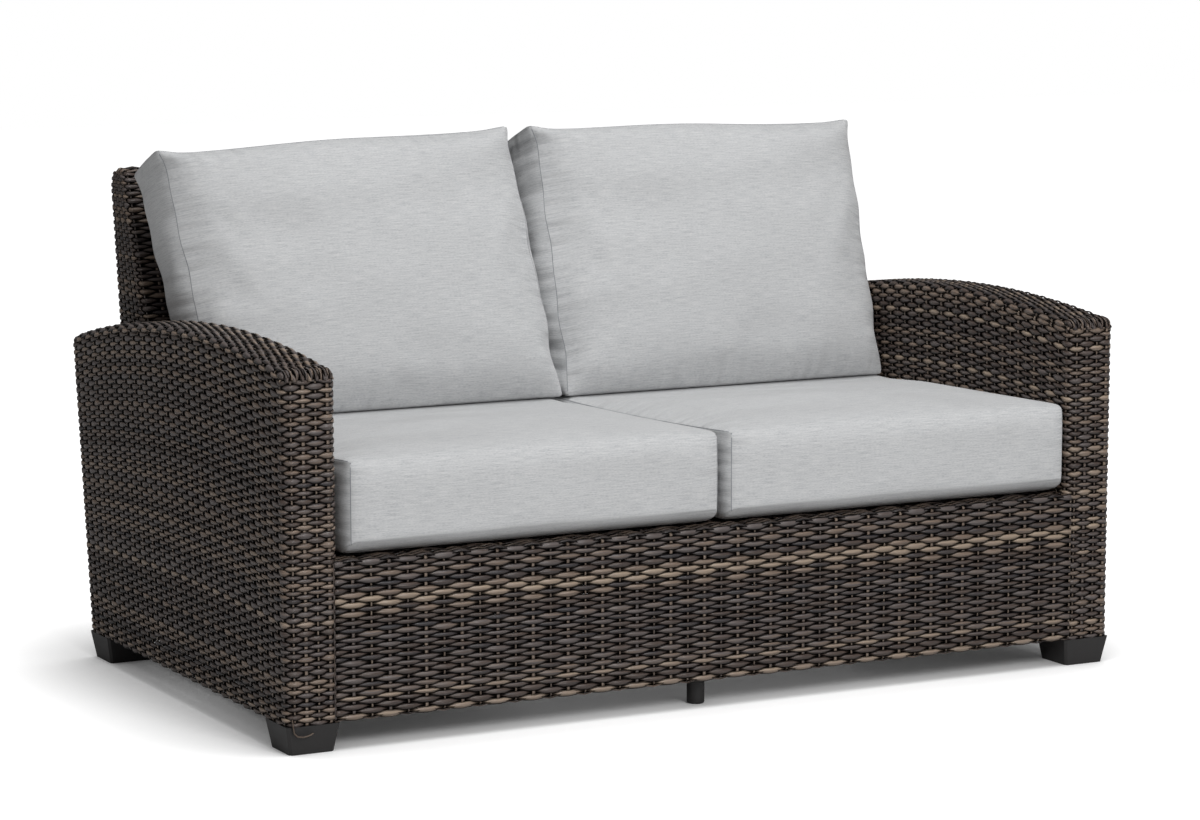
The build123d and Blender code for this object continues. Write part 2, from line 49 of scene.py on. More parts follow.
# Room, lamps and camera
camera = {
    "place": (-2.7726, -5.2870, 1.2305),
    "turn": 26.84,  # degrees to the right of straight on
    "tilt": 8.68,  # degrees below the horizon
    "roll": 0.24,
    "lens": 108.3,
    "shift": (0.0581, 0.0472),
    "farthest": 60,
}
room = {
    "floorColor": (0.9, 0.9, 0.9),
    "floorRoughness": 0.9,
    "floorSize": 30.0,
    "floorGlow": 0.88,
    "shadeReach": 0.4,
    "shadeSamples": 8,
    "shadePower": 2.2,
    "skyColor": (1.0, 1.0, 1.0),
    "skyStrength": 0.22,
}
lamps = {
    # name: (place, aimed at, size, watts)
    "keyLamp": ((-0.2, -4.6, 2.9), (0.0, 0.0, 0.4), 1.8, 102),
    "topLamp": ((0.2, -0.8, 4.0), (0.0, 0.0, 0.4), 2.8, 78),
    "sideLamp": ((-4.2, -2.2, 1.6), (-0.6, 0.0, 0.4), 1.6, 4),
}


def addObject(name, data):
    piece = bpy.data.objects.new(name, data)
    bpy.context.scene.collection.objects.link(piece)
    return piece


def buildCamera():
    turn, tilt, roll = (math.radians(camera[key]) for key in ("turn", "tilt", "roll"))
    forward = Vector((math.sin(turn) * math.cos(tilt), math.cos(turn) * math.cos(tilt), -math.sin(tilt)))
    right = Vector((math.cos(turn), -math.sin(turn), 0))
    up = right.cross(forward)
    tilted = Matrix.Rotation(roll, 4, forward)
    right, up = tilted @ right, tilted @ up
    lens = bpy.data.cameras.new("photoCamera")
    lens.lens = camera["lens"]
    lens.shift_x, lens.shift_y = camera["shift"]
    lens.clip_end = camera["farthest"]
    eye = addObject("photoCamera", lens)
    turned = Matrix((right, up, -forward)).transposed().to_4x4()
    eye.matrix_world = Matrix.Translation(camera["place"]) @ turned
    bpy.context.scene.camera = eye


def buildLamps():
    for name, (place, target, size, watts) in lamps.items():
        light = bpy.data.lights.new(name, "AREA")
        light.shape = "DISK"
        light.size = size
        light.energy = watts
        lamp = addObject(name, light)
        lamp.location = place
        aim = Vector(target) - Vector(place)
        lamp.rotation_euler = aim.to_track_quat("-Z", "Y").to_euler()


def buildRoom():
    sky = bpy.data.worlds.new("studio")
    bpy.context.scene.world = sky
    sky.use_nodes = True
    tree = sky.node_tree
    rays = addNode(tree, "LightPath").outputs
    seen = doMath(tree, "MAXIMUM", rays["Is Camera Ray"], rays["Is Transmission Ray"])
    feed(tree, tree.nodes["Background"], {
        "Color": (*room["skyColor"], 1),
        "Strength": mapRange(tree, seen, (0, 1, room["skyStrength"], 1)),
    })
    bpy.ops.object.select_all(action="DESELECT")
    bpy.ops.mesh.primitive_plane_add(size=room["floorSize"], location=(0, 0, 0))
    floor = bpy.context.object
    floor.name = "floor"
    paint, shader = newMaterial("floorPaint", room["floorColor"], room["floorRoughness"])
    # The open floor is brought up to white by a glow seen only by the camera; ambient occlusion takes the
    # glow away where the seat closes the floor in, a painted shadow under and round the seat
    tree = paint.node_tree
    seen = addNode(tree, "LightPath").outputs["Is Camera Ray"]
    reach, samples = room["shadeReach"], room["shadeSamples"]
    openness = addNode(tree, "AmbientOcclusion", {"Distance": reach}, samples=samples)
    sharp = doMath(tree, "POWER", openness.outputs["AO"], room["shadePower"])
    glow = multiply(tree, multiply(tree, seen, sharp), room["floorGlow"])
    feed(tree, shader, {"Emission Strength": glow, "Emission Color": (1, 1, 1, 1)})
    floor.data.materials.append(paint)


# Materials
def newMaterial(name, color, roughness):
    material = bpy.data.materials.new(name)
    material.use_nodes = True
    shader = material.node_tree.nodes["Principled BSDF"]
    shader.inputs["Base Color"].default_value = (*color, 1)
    shader.inputs["Roughness"].default_value = roughness
    return material, shader


# Sets a node's inputs: another node's socket is linked, anything else is a value
def feed(tree, node, inputs):
    for key, value in inputs.items():
        if isinstance(value, bpy.types.NodeSocket):
            tree.links.new(value, node.inputs[key])
        else:
            node.inputs[key].default_value = value


def addNode(tree, kind, inputs=None, **settings):
    node = tree.nodes.new("ShaderNode" + kind)
    for key, value in settings.items():
        setattr(node, key, value)
    feed(tree, node, inputs or {})
    return node


def doMath(tree, operation, *values, clamp=False):
    inputs = dict(enumerate(values))
    return addNode(tree, "Math", inputs, operation=operation, use_clamp=clamp).outputs[0]


def multiply(tree, first, second):
    return doMath(tree, "MULTIPLY", first, second)


# Maps a value from one span to another: the spans are (from low, from high, to low, to high)
def mapRange(tree, value, spans, smooth=False):
    inputs = dict(zip(("From Min", "From Max", "To Min", "To Max"), spans), Value=value)
    kind = "SMOOTHSTEP" if smooth else "LINEAR"
    return addNode(tree, "MapRange", inputs, interpolation_type=kind).outputs["Result"]


def addNoise(tree, place, scale, detail, roughness=0.5):
    inputs = {"Vector": place, "Scale": scale, "Detail": detail, "Roughness": roughness}
    return addNode(tree, "TexNoise", inputs).outputs["Fac"]


def addBump(tree, height, strength, distance, below=None):
    inputs = {"Height": height, "Strength": strength, "Distance": distance}
    if below:
        inputs["Normal"] = below
    return addNode(tree, "Bump", inputs).outputs["Normal"]


def addRamp(tree, value, stops):
    ramp = addNode(tree, "ValToRGB", {"Fac": value})
    elements = ramp.color_ramp.elements
    while len(elements) < len(stops):
        elements.new(0.5)
    for element, (share, color) in zip(elements, stops):
        element.position = share
        element.color = (*color, 1)
    return ramp.outputs["Color"]


def multiplyColor(tree, color, amount):
    inputs = {"Factor": 1.0, "A": color, "B": amount}
    return addNode(tree, "Mix", inputs, data_type="RGBA", blend_type="MULTIPLY").outputs["Result"]


def readAttribute(tree, name):
    return addNode(tree, "Attribute", attribute_name=name).outputs["Fac"]


# Linear colour of an sRGB colour given in 0 to 255
def srgb(*values):
    return tuple(((v / 255 + 0.055) / 1.055) ** 2.4 if v > 10 else v / 255 / 12.92 for v in values)


resin = {
    # shade of a strand: its share of the ramp and its colour
    "charcoal": (0.00, srgb(50, 47, 50)),
    "darkBrown": (0.22, srgb(74, 61, 54)),
    "smoke": (0.42, srgb(90, 83, 82)),
    "brown": (0.60, srgb(110, 94, 82)),
    "taupe": (0.78, srgb(134, 118, 105)),
    "straw": (0.95, srgb(152, 135, 117)),
    "roughness": 0.30,
    "specular": 0.5,
    # Each of these runs from one value to another, with the amounts at both after them
    "taper": (0.10, 0.88, 0.24, 0.94),  # over the rise: share of the width that shows
    # Painted shade: a strand darkens from its middle line to its edge, which draws its lens outline
    "paintedRimShade": (0.56, 1.0, 1.0, 0.16),  # from a strand's middle line to its edge: light
    # Painted shade: a strand darkens where it lies deep in the weave behind its neighbours
    "paintedDeepShade": (0.03, 0.32, 0.13, 1.0),  # over the rise: light
    # Painted light and shade: a strand's upper edge is lighter and its lower edge darker, as if lit from
    # above
    "paintedLightFromAbove": (-0.8, 0.55, 0.55, 1.24),  # from a strand's lower edge to its upper: light
    "fullness": (0.3, 0.7, 0.78, 1.22),  # over the streaks: how wide the shown strand is
    "roundness": 0.0016,
    "streakChange": 0.66,
    "streakLength": 19.0,  # streaks to the metre along a strand
    "streakAcross": 2.2,
    "streakSeed": 91.0,  # how far apart two strands' streaks are for their shades
    "streakDetail": 4.0,
    "grooveCount": 7.0,
    "grooveDepth": 0.00016,
    "grooveStrength": 0.6,
    "shine": (-0.08, 0.14),  # change of roughness along a streak
}


def buildResin():
    material, shader = newMaterial("wovenResin", resin["brown"][1], resin["roughness"])
    tree = material.node_tree
    tone, along, side, rise = (readAttribute(tree, name) for name in ("tone", "along", "side", "rise"))
    place = addNode(tree, "CombineXYZ", {
        "X": multiply(tree, along, resin["streakLength"]),
        "Y": multiply(tree, side, resin["streakAcross"]),
        "Z": multiply(tree, tone, resin["streakSeed"]),
    })
    streak = addNoise(tree, place.outputs[0], 1.0, resin["streakDetail"])
    lowered = doMath(tree, "SUBTRACT", tone, resin["streakChange"] / 2)
    shade = doMath(tree, "MULTIPLY_ADD", streak, resin["streakChange"], lowered)
    stops = [resin[key] for key in ("charcoal", "darkBrown", "smoke", "brown", "taupe", "straw")]
    color = addRamp(tree, shade, stops)
    # A strand shows as a pointed lens over its stake and is lost in shade behind its neighbours; the lens's
    # dark rim and this shade are painted into the colour
    taper = mapRange(tree, rise, resin["taper"], smooth=True)
    fullness = mapRange(tree, streak, resin["fullness"])
    shown = multiply(tree, taper, fullness)
    ratio = doMath(tree, "DIVIDE", doMath(tree, "ABSOLUTE", side), shown)
    upward = doMath(tree, "DIVIDE", side, shown)
    # Painted light from above: lighter upper edge, darker lower edge of each strand
    paintedLightFromAbove = mapRange(tree, upward, resin["paintedLightFromAbove"], smooth=True)
    bulge = doMath(tree, "SUBTRACT", 1.0, multiply(tree, ratio, ratio), clamp=True)
    rounded = addBump(tree, bulge, 1.0, resin["roundness"])
    # Painted shade at the strand's edges, which draws the lens
    lens = mapRange(tree, ratio, resin["paintedRimShade"], smooth=True)
    # Painted shade where the strand lies deep in the weave
    paintedDeepShade = mapRange(tree, rise, resin["paintedDeepShade"], smooth=True)
    both = multiply(tree, lens, paintedDeepShade)
    groove = doMath(tree, "SINE", multiply(tree, side, resin["grooveCount"] * math.pi))
    dull, bright = (resin["roughness"] + change for change in resin["shine"])
    # The painted shade and painted light darken and lighten the base colour; the painted shade also takes
    # away the specular highlight
    feed(tree, shader, {
        "Base Color": multiplyColor(tree, color, multiply(tree, both, paintedLightFromAbove)),
        "Specular IOR Level": multiply(tree, both, resin["specular"]),
        "Roughness": mapRange(tree, streak, (0, 1, dull, bright)),
        "Normal": addBump(tree, groove, resin["grooveStrength"], resin["grooveDepth"], rounded),
    })
    return material


fabric = {
    "color": srgb(193, 194, 195),
    "darkThread": srgb(167, 169, 172),
    "lightThread": srgb(208, 208, 208),
    "threadStops": (0.34, 0.50, 0.66),  # places of the dark, middle and light thread
    "roughness": 0.92,
    "sheen": 0.15,
    "specular": 0.2,
    # Noise over the cloth: (to the metre across, to the metre up)
    "slubs": (210.0, 1100.0),
    "heather": (34.0, 620.0),
    "creases": {"besideSides": (5.0, 34.0), "besideEnds": (34.0, 5.0)},
    "dents": (4.5, 6.0),
    "slubShare": 0.55,
    "slubDetail": 3.0,
    "slubRoughness": 0.62,
    "bumpStrength": 0.5,
    "bump": 0.00022,
    "puckerStrength": 0.9,
    "puckerDepth": 0.016,
    "dentStrength": 0.8,
    "dentDepth": 0.035,
}


def buildFabric():
    material, shader = newMaterial("cushionCloth", fabric["color"], fabric["roughness"])
    tree = material.node_tree
    cloth = addNode(tree, "UVMap", uv_map="cloth").outputs["UV"]

    def clothNoise(scale, detail, roughness=0.5):
        spread = addNode(tree, "Mapping", {"Vector": cloth, "Scale": (*scale, 1)})
        return addNoise(tree, spread.outputs[0], 1.0, detail, roughness)

    slub = clothNoise(fabric["slubs"], fabric["slubDetail"], fabric["slubRoughness"])
    heather = clothNoise(fabric["heather"], 2.0)
    slubPart = multiply(tree, slub, fabric["slubShare"])
    blend = doMath(tree, "MULTIPLY_ADD", heather, 1 - fabric["slubShare"], slubPart)
    threads = [fabric[key] for key in ("darkThread", "color", "lightThread")]
    # Puckers run away from the seams: level ones beside the side seams, upright ones at the ends
    below = None
    for label, stretch in fabric["creases"].items():
        amount = multiply(tree, clothNoise(stretch, 1.0), readAttribute(tree, label))
        below = addBump(tree, amount, fabric["puckerStrength"], fabric["puckerDepth"], below)
    dent = clothNoise(fabric["dents"], 1.0)
    below = addBump(tree, dent, fabric["dentStrength"], fabric["dentDepth"], below)
    feed(tree, shader, {
        "Base Color": addRamp(tree, blend, list(zip(fabric["threadStops"], threads))),
        "Sheen Weight": fabric["sheen"],
        "Specular IOR Level": fabric["specular"],
        "Normal": addBump(tree, slub, fabric["bumpStrength"], fabric["bump"], below),
    })
    return material


moulded = {"color": srgb(31, 29, 29), "roughness": 0.55, "grain": 900.0, "grainDepth": 0.00012}
painted = {"color": srgb(34, 31, 30), "roughness": 0.45, "grain": 1400.0, "grainDepth": 0.00005}
plated = {"color": srgb(176, 176, 178), "roughness": 0.3, "grain": 2500.0, "grainDepth": 0.00002}
tape = {"color": srgb(150, 153, 156), "roughness": 0.85, "grain": 1100.0, "grainDepth": 0.0002}
sewing = {"color": srgb(140, 143, 147), "roughness": 0.9, "grain": 900.0, "grainDepth": 0.0001}
cloud = {"scale": 18.0, "shades": (0.82, 1.18)}


# A finish with a fine moulded or sprayed grain and a slight change of shade
def buildGrained(name, look, metallic=0.0):
    material, shader = newMaterial(name, look["color"], look["roughness"])
    tree = material.node_tree
    place = addNode(tree, "TexCoord").outputs["Object"]
    grain = addNoise(tree, place, look["grain"], 2.0)
    shade = mapRange(tree, addNoise(tree, place, cloud["scale"], 2.0), (0, 1, *cloud["shades"]))
    feed(tree, shader, {
        "Base Color": multiplyColor(tree, (*look["color"], 1), shade),
        "Metallic": metallic,
        "Normal": addBump(tree, grain, 0.5, look["grainDepth"]),
    })
    return material


# Meshes from rows of points
strandSection = ((-1.0, -0.1), (-0.58, 0.42), (0.58, 0.42), (1.0, -0.1), (0.0, -0.45))


def unit(vectors):
    return vectors / np.maximum(np.linalg.norm(vectors, axis=1, keepdims=True), 1e-9)


# How far each point of a line is from its first point, along the line
def runAlong(points):
    return np.concatenate([[0.0], np.cumsum(np.linalg.norm(np.diff(points, axis=0), axis=1))])


# Gives each point of a mesh a number
def addLayer(mesh, label, values):
    layer = mesh.attributes.new(label, "FLOAT", "POINT")
    layer.data.foreach_set("value", np.ascontiguousarray(values, dtype=np.float32))


# The way across a flat strand that follows a line of points and lies on a surface
def acrossLine(center, normal):
    return unit(np.cross(normal, unit(np.gradient(center, axis=0))))


# Strands gathered into one mesh, with a shade, a length, a side and a rise on every point
class Bundle:
    labels = ("tone", "along", "side", "rise")

    def __init__(self):
        self.points, self.values, self.quads, self.corners = [], [], [], []
        self.count = 0

    # Sweeps the strand's section; rise is 1 where the strand lies on top and 0 deep in the weave
    def add(self, center, across, normal, halfWidth, thick, tone, closed, rise=1.0):
        steps, ring = len(center), len(strandSection)
        halfWidth, rise = (np.broadcast_to(value, steps)[:, None] for value in (halfWidth, rise))
        layers = [center + across * halfWidth * a + normal * thick * b for a, b in strandSection]
        self.points.append(np.stack(layers, axis=1).reshape(-1, 3))
        sides = [a for a, b in strandSection]
        values = np.broadcast_arrays(tone, runAlong(center)[:, None], sides, rise)
        self.values.append(np.stack(values, axis=-1).reshape(-1, len(self.labels)))
        index = self.count + np.arange(steps * ring).reshape(steps, ring)
        after = np.roll(index, -1, axis=0) if closed else index[1:]
        before = index if closed else index[:-1]
        nextBefore, nextAfter = np.roll(before, -1, axis=1), np.roll(after, -1, axis=1)
        quads = np.stack([before, nextBefore, nextAfter, after], axis=-1).reshape(-1, 4)
        way = np.gradient(center, axis=0)
        turned = np.sum(np.cross(way, across) * normal) > 0
        self.quads.append(quads[:, ::-1] if turned else quads)
        if not closed:
            for end, flip in ((index[0], turned), (index[-1], not turned)):
                wide, narrow = end[[3, 2, 1, 0]], end[[4, 3, 0]]
                self.quads.append(wide[None, ::-1] if flip else wide[None])
                self.corners.append(narrow[None, ::-1] if flip else narrow[None])
        self.count += steps * ring

    def build(self, name, material):
        points, quads = np.concatenate(self.points), np.concatenate(self.quads)
        corners = np.concatenate(self.corners) if self.corners else np.empty((0, 3), dtype=int)
        loops = np.concatenate([quads.ravel(), corners.ravel()]).astype(np.int32)
        starts = np.concatenate([np.arange(0, quads.size, 4), quads.size + np.arange(0, corners.size, 3)])
        mesh = bpy.data.meshes.new(name)
        mesh.vertices.add(len(points))
        mesh.vertices.foreach_set("co", points.astype(np.float32).ravel())
        mesh.loops.add(len(loops))
        mesh.loops.foreach_set("vertex_index", loops)
        mesh.polygons.add(len(starts))
        mesh.polygons.foreach_set("loop_start", starts.astype(np.int32))
        mesh.polygons.foreach_set("use_smooth", np.ones(len(starts), dtype=bool))
        for label, values in zip(self.labels, np.concatenate(self.values).T):
            addLayer(mesh, label, values)
        mesh.update()
        mesh.validate()
        mesh.materials.append(material)
        piece = addObject(name, mesh)
        print(name, len(quads) * 2 + len(corners), "triangles")
        return piece


# The weave
weave = {
    "narrowRow": 0.0059,
    "wideRow": 0.0078,
    "wideShare": 0.36,
    "overlap": 0.69,  # half width of a strand against its row
    "pinch": 0.22,  # how much narrower it is behind a stake
    "pinchPower": 2.2,
    "amplitude": 0.0024,
    "squareness": 0.12,  # how much longer than a plain wave a strand stays in front or behind
    "thickness": 0.0026,
    "depth": -0.0030,
    "steps": 4,  # points from one stake to the next
    "wander": 0.0004,
    "uneven": 0.10,  # how much a strand's width changes from crossing to crossing
    # Shades of the strands: (up to this share of them, darkest, lightest)
    "shades": ((0.42, 0.04, 0.28), (0.80, 0.28, 0.56), (1.00, 0.56, 0.82)),
    "wideLift": 0.08,  # how much lighter a wide strand is
    "lightLift": 0.10,  # and a strand of the light share
    "lightShare": 0.15,
    "lightest": 0.96,
    "thinStake": 0.0019,
    "thickStake": 0.0034,
    "stakeThickness": 0.0020,
    "stakeRipple": 0.0009,  # how far a stake comes forward where a strand is behind it
    "stakeShades": (0.45, 0.8),
}
chance = random.Random(11)


# Row edges over a height, narrow and wide rows mixed, with a shade for each
def rowLines(height, coarse=1.0):
    sizes = []
    while sum(sizes) < height:
        wide = chance.random() < weave["wideShare"]
        sizes.append((weave["wideRow"] if wide else weave["narrowRow"]) * coarse)
    total = sum(sizes)
    edges = [0.0]
    for size in sizes:
        edges.append(edges[-1] + size / total)
    tones = []
    for size in sizes:
        wide = size == weave["wideRow"] * coarse
        pick = chance.random()
        band = weave["lightLift"] if chance.random() < weave["lightShare"] else 0.0
        low, high = next(shades for share, *shades in weave["shades"] if pick < share)
        tone = chance.uniform(low, high) + (weave["wideLift"] if wide else 0.0)
        tones.append(min(weave["lightest"], tone + band))
    return edges, tones


# Weaves strands along u over a surface whose stakes stand at whole values of u
def layRows(bundle, surface, stakes, height, closed, rows, tones, phase=0):
    count = stakes * weave["steps"] + (0 if closed else 1)
    u = np.arange(count) / weave["steps"]
    small = 0.002
    for number, tone in enumerate(tones):
        low, high = rows[number], rows[number + 1]
        v = (low + high) / 2
        drift = [chance.uniform(-1, 1) for _ in range(stakes + 1)]
        girth = [1 + weave["uneven"] * chance.uniform(-1, 1) for _ in range(stakes + 1)]
        if closed:
            drift[-1], girth[-1] = drift[0], girth[0]
        center, normal = surface(u, v)
        above, _ = surface(u, min(v + small, 1))
        below, _ = surface(u, max(v - small, 0))
        across = unit(above - below)
        wave = np.cos(np.pi * (u + number + phase))
        third = np.cos(3 * np.pi * (u + number + phase))
        lift = weave["amplitude"] * (wave + weave["squareness"] * third)
        wobble = np.interp(u, np.arange(stakes + 1), drift) * weave["wander"]
        row = (high - low) * height
        half = row * weave["overlap"] * (1 - weave["pinch"] * ((1 - wave) / 2) ** weave["pinchPower"])
        half = half * np.interp(u, np.arange(stakes + 1), girth)
        center = center + normal * (lift + weave["depth"])[:, None] + across * wobble[:, None]
        rise = (wave + 1) / 2
        bundle.add(center, across, normal, half, weave["thickness"], tone, closed, rise)


# The stakes that the rows are woven round, alternately thin and thick
def standStakes(bundle, surface, stakes, closed, edges):
    rows = np.array(edges)
    v = np.concatenate([[rows[0]], (rows[:-1] + rows[1:]) / 2, [rows[-1]]])
    for number in range(stakes + (0 if closed else 1)):
        u = np.array([float(number)])
        spots = [surface(u, min(max(value, 0), 1)) for value in v]
        center = np.concatenate([spot[0] for spot in spots])
        normal = np.concatenate([spot[1] for spot in spots])
        across = acrossLine(center, normal)
        wave = np.cos(np.pi * (number + np.arange(-1, len(rows))))
        half = weave["thickStake"] if number % 2 else weave["thinStake"]
        center = center + normal * (weave["depth"] - wave * weave["stakeRipple"])[:, None]
        shade = chance.uniform(*weave["stakeShades"])
        bundle.add(center, across, normal, half, weave["stakeThickness"], shade, False)


# A closed ring of weave in three pieces: the lower rows, the upper rows and the stakes
def weaveRing(name, ring, count, height, material):
    rows, tones = rowLines(height)
    half = len(tones) // 2
    pieces = []
    for part, (first, last) in {"Lower": (0, half), "Upper": (half, len(tones))}.items():
        bundle = Bundle()
        layRows(bundle, ring, count, height, True, rows[first:last + 1], tones[first:last], first)
        pieces.append(bundle.build(f"{name}Weave{part}", material))
    bundle = Bundle()
    standStakes(bundle, ring, count, True, rows)
    pieces.append(bundle.build(f"{name}Stakes", material))
    return pieces


# Strands woven over an open surface, with its stakes
def weaveOpen(surface, stakes, height, coarse=1.0):
    bundle = Bundle()
    rows, tones = rowLines(height, coarse)
    layRows(bundle, surface, stakes, height, False, rows, tones)
    standStakes(bundle, surface, stakes, False, rows)
    return bundle


# Side views of the arms and the back, in metres, from the frame's own boxes
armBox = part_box("left_arm_weave")
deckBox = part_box("seat_deck_weave")
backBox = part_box("back_weave")
frontY, floorZ, peakZ = armBox[0][1], armBox[0][2], armBox[1][2]
seatZ = deckBox[1][2]
halfWidth = -armBox[0][0]
innerHalf = -armBox[1][0]
armShape = {
    "peakSetback": 0.360,
    "bow": 2.390,
    "edge": 0.014,
    "frontCorner": 0.016,
    "rearCorner": 0.020,
    "capGap": 0.001,
    "frontStakes": 3,
    "sideStakes": 38,
    "capStakes": 42,
}
backShape = {
    "top": 0.035,
    "rearFoot": 0.845,
    "faceFoot": 0.700,
    "edge": 0.010,
    "ringEnd": 50,  # degrees above the level where the ring of weave ends and the top's rows begin
    "topLap": 4,  # degrees by which the top's rows reach less far
    "frontStakes": 44,
    "sideStakes": 5,
}
backCenter = np.array([backBox[1][1] - backShape["top"], backBox[1][2] - backShape["top"]])


# Where a line from a foot point touches the round top of the back
def tangentFrom(foot, side):
    gap = backCenter - foot
    reach = math.hypot(*gap)
    turn = math.atan2(gap[1], gap[0]) - side * math.asin(backShape["top"] / reach)
    length = math.sqrt(reach ** 2 - backShape["top"] ** 2)
    return foot + length * np.array([math.cos(turn), math.sin(turn)])


rearFoot = np.array([frontY + backShape["rearFoot"], floorZ])
faceFoot = np.array([frontY + backShape["faceFoot"], seatZ])
rearTop, faceTop = tangentFrom(rearFoot, 1), tangentFrom(faceFoot, -1)
rearSlope, faceSlope = rearTop - rearFoot, faceTop - faceFoot
rearNormal = np.array([rearSlope[1], -rearSlope[0]]) / np.linalg.norm(rearSlope)
faceNormal = np.array([-faceSlope[1], faceSlope[0]]) / np.linalg.norm(faceSlope)


# How far back the rear and the face of the back are at a height
def rearY(z):
    return rearFoot[0] + (z - floorZ) * rearSlope[0] / rearSlope[1]


def faceY(z):
    return faceFoot[0] + (z - seatZ) * faceSlope[0] / faceSlope[1]


def ridgeZ(y, inset=0.0):
    run = y - frontY - armShape["peakSetback"]
    return peakZ - armShape["bow"] + np.sqrt((armShape["bow"] - inset) ** 2 - run ** 2)


# A closed ring round a block: front, far side, rear and near side, with rounded upright edges.
# topZ(y) is the height of the last row at a depth; the lines give front and rear depths at a height
def ringSurface(xLow, xHigh, edge, frontStakes, sideStakes, bottomZ, topZ, frontLine, rearLine):
    flat = xHigh - xLow - 2 * edge
    lengths = [frontStakes, 1, sideStakes, 1, frontStakes, 1, sideStakes, 1]
    starts = np.cumsum([0] + lengths)

    def surface(u, v):
        u = np.mod(u, starts[-1])
        x, share, offset, nx, ny = (np.zeros_like(u) for _ in range(5))
        for part in range(8):
            inside = (u >= starts[part]) & (u < starts[part + 1])
            t = (u[inside] - starts[part]) / lengths[part]
            sign = 1 if part < 4 else -1
            if part in (0, 4):
                x[inside] = (xLow + xHigh) / 2 + sign * flat * (t - 0.5)
                share[inside] = 0 if part == 0 else 1
                ny[inside] = -sign
                offset[inside] = -edge * sign
            elif part in (2, 6):
                x[inside] = xHigh if part == 2 else xLow
                share[inside] = t if part == 2 else 1 - t
                nx[inside] = sign
            else:
                angle = (part - 3) * math.pi / 4 + t * math.pi / 2
                centerX = xHigh - edge if part in (1, 3) else xLow + edge
                x[inside] = centerX + edge * np.cos(angle)
                share[inside] = 0 if part in (1, 7) else 1
                nx[inside], ny[inside] = np.cos(angle), np.sin(angle)
                offset[inside] = edge * np.sin(angle)
        z = np.full_like(u, bottomZ + v * (topZ(frontY) - bottomZ))
        for _ in range(3):
            y = (1 - share) * (frontLine(z) + edge) + share * (rearLine(z) - edge) + offset
            z = bottomZ + v * (topZ(y) - bottomZ)
        normal = unit(np.stack([nx, ny, np.zeros_like(u)], axis=1))
        return np.stack([x, y, z], axis=1), normal

    return surface, int(starts[-1])


# The band over the top of an arm: u runs along the ridge, v from one edge round to the other
def capSurface(xLow, xHigh, edge, path, pathNormals, stakes):
    run = runAlong(path)
    quarter = edge * math.pi / 2
    width = (xHigh - xLow - 2 * edge) + 2 * quarter

    def surface(u, v):
        s = np.clip(u / stakes, 0, 1) * run[-1]
        y, z, ny, nz = (np.interp(s, run, values) for values in (*path.T, *pathNormals.T))
        size = np.hypot(ny, nz)
        ny, nz = ny / size, nz / size
        w = v * width
        x, sink, side, up = xLow + edge + (w - quarter), 0.0, 0.0, 1.0
        if w < quarter or w > width - quarter:
            sign, corner = (-1, xLow + edge) if w < quarter else (1, xHigh - edge)
            angle = min(w, width - w) / edge
            side, up = sign * math.cos(angle), math.sin(angle)
            x, sink = corner + edge * side, edge * (1 - up)
        center = np.stack([np.full_like(y, x), y - ny * sink, z - nz * sink], axis=1)
        normal = np.stack([np.full_like(y, side), ny * up, nz * up], axis=1)
        return center, unit(normal)

    return surface, width


# A panel whose rows run along X: v follows a side-view path, u runs from one side to the other
def panelSurface(path, pathNormals, xLow, xHigh, stakes):
    run = runAlong(path)

    def surface(u, v):
        s = v * run[-1]
        y, z, ny, nz = (np.interp(s, run, values) for values in (*path.T, *pathNormals.T))
        x = xLow + (xHigh - xLow) * u / stakes
        center = np.stack([x, np.full_like(x, y), np.full_like(x, z)], axis=1)
        normal = np.tile(unit(np.array([[0.0, ny, nz]])), (len(u), 1))
        return center, normal

    return surface, run[-1]


def angleOf(way):
    return math.degrees(math.atan2(way[1], way[0]))


def arcPath(center, radius, start, end, steps=9):
    angles = np.linspace(math.radians(start), math.radians(end), steps)
    ways = np.stack([np.cos(angles), np.sin(angles)], axis=1)
    return np.asarray(center) + radius * ways, ways


# The arm's top outline in side view, from its front face over the bow to its raked rear
def armRidge():
    front, rear = armShape["frontCorner"], armShape["rearCorner"]
    frontCenter = (frontY + front, ridgeZ(frontY + front, front))
    rearZ = peakZ
    for _ in range(6):
        rearPoint = rearY(rearZ) - rear / (rearSlope[1] / np.linalg.norm(rearSlope))
        rearZ = ridgeZ(rearPoint, rear)
    bowCenter = np.array([frontY + armShape["peakSetback"], peakZ - armShape["bow"]])
    frontAngle = angleOf(np.array(frontCenter) - bowCenter)
    rearAngle = angleOf(np.array([rearPoint, rearZ]) - bowCenter)
    pieces = [
        arcPath(frontCenter, front, 180, frontAngle, 7),
        arcPath(bowCenter, armShape["bow"], frontAngle, rearAngle, 25),
        arcPath((rearPoint, rearZ), rear, rearAngle, angleOf(rearNormal), 7),
    ]
    points = np.concatenate([piece[0] for piece in pieces])
    ways = np.concatenate([piece[1] for piece in pieces])
    keep = np.concatenate([[True], np.linalg.norm(np.diff(points, axis=0), axis=1) > 1e-6])
    return points[keep], ways[keep]


folds = {
    "count": 10,
    "reach": 1.9,  # in stakes, from the arm's front
    "reachChange": (0.85, 1.1),
    "firstPlace": 0.12,  # share of the way across the arm
    "span": 0.76,
    "stray": 0.004,
    "steps": 10,
    "halfWidth": 0.0021,
    "thickness": 0.0016,
    "lift": 0.0004,
    "dive": 0.008,
    "diveStart": 0.6,
    "shades": (0.2, 0.7),
}


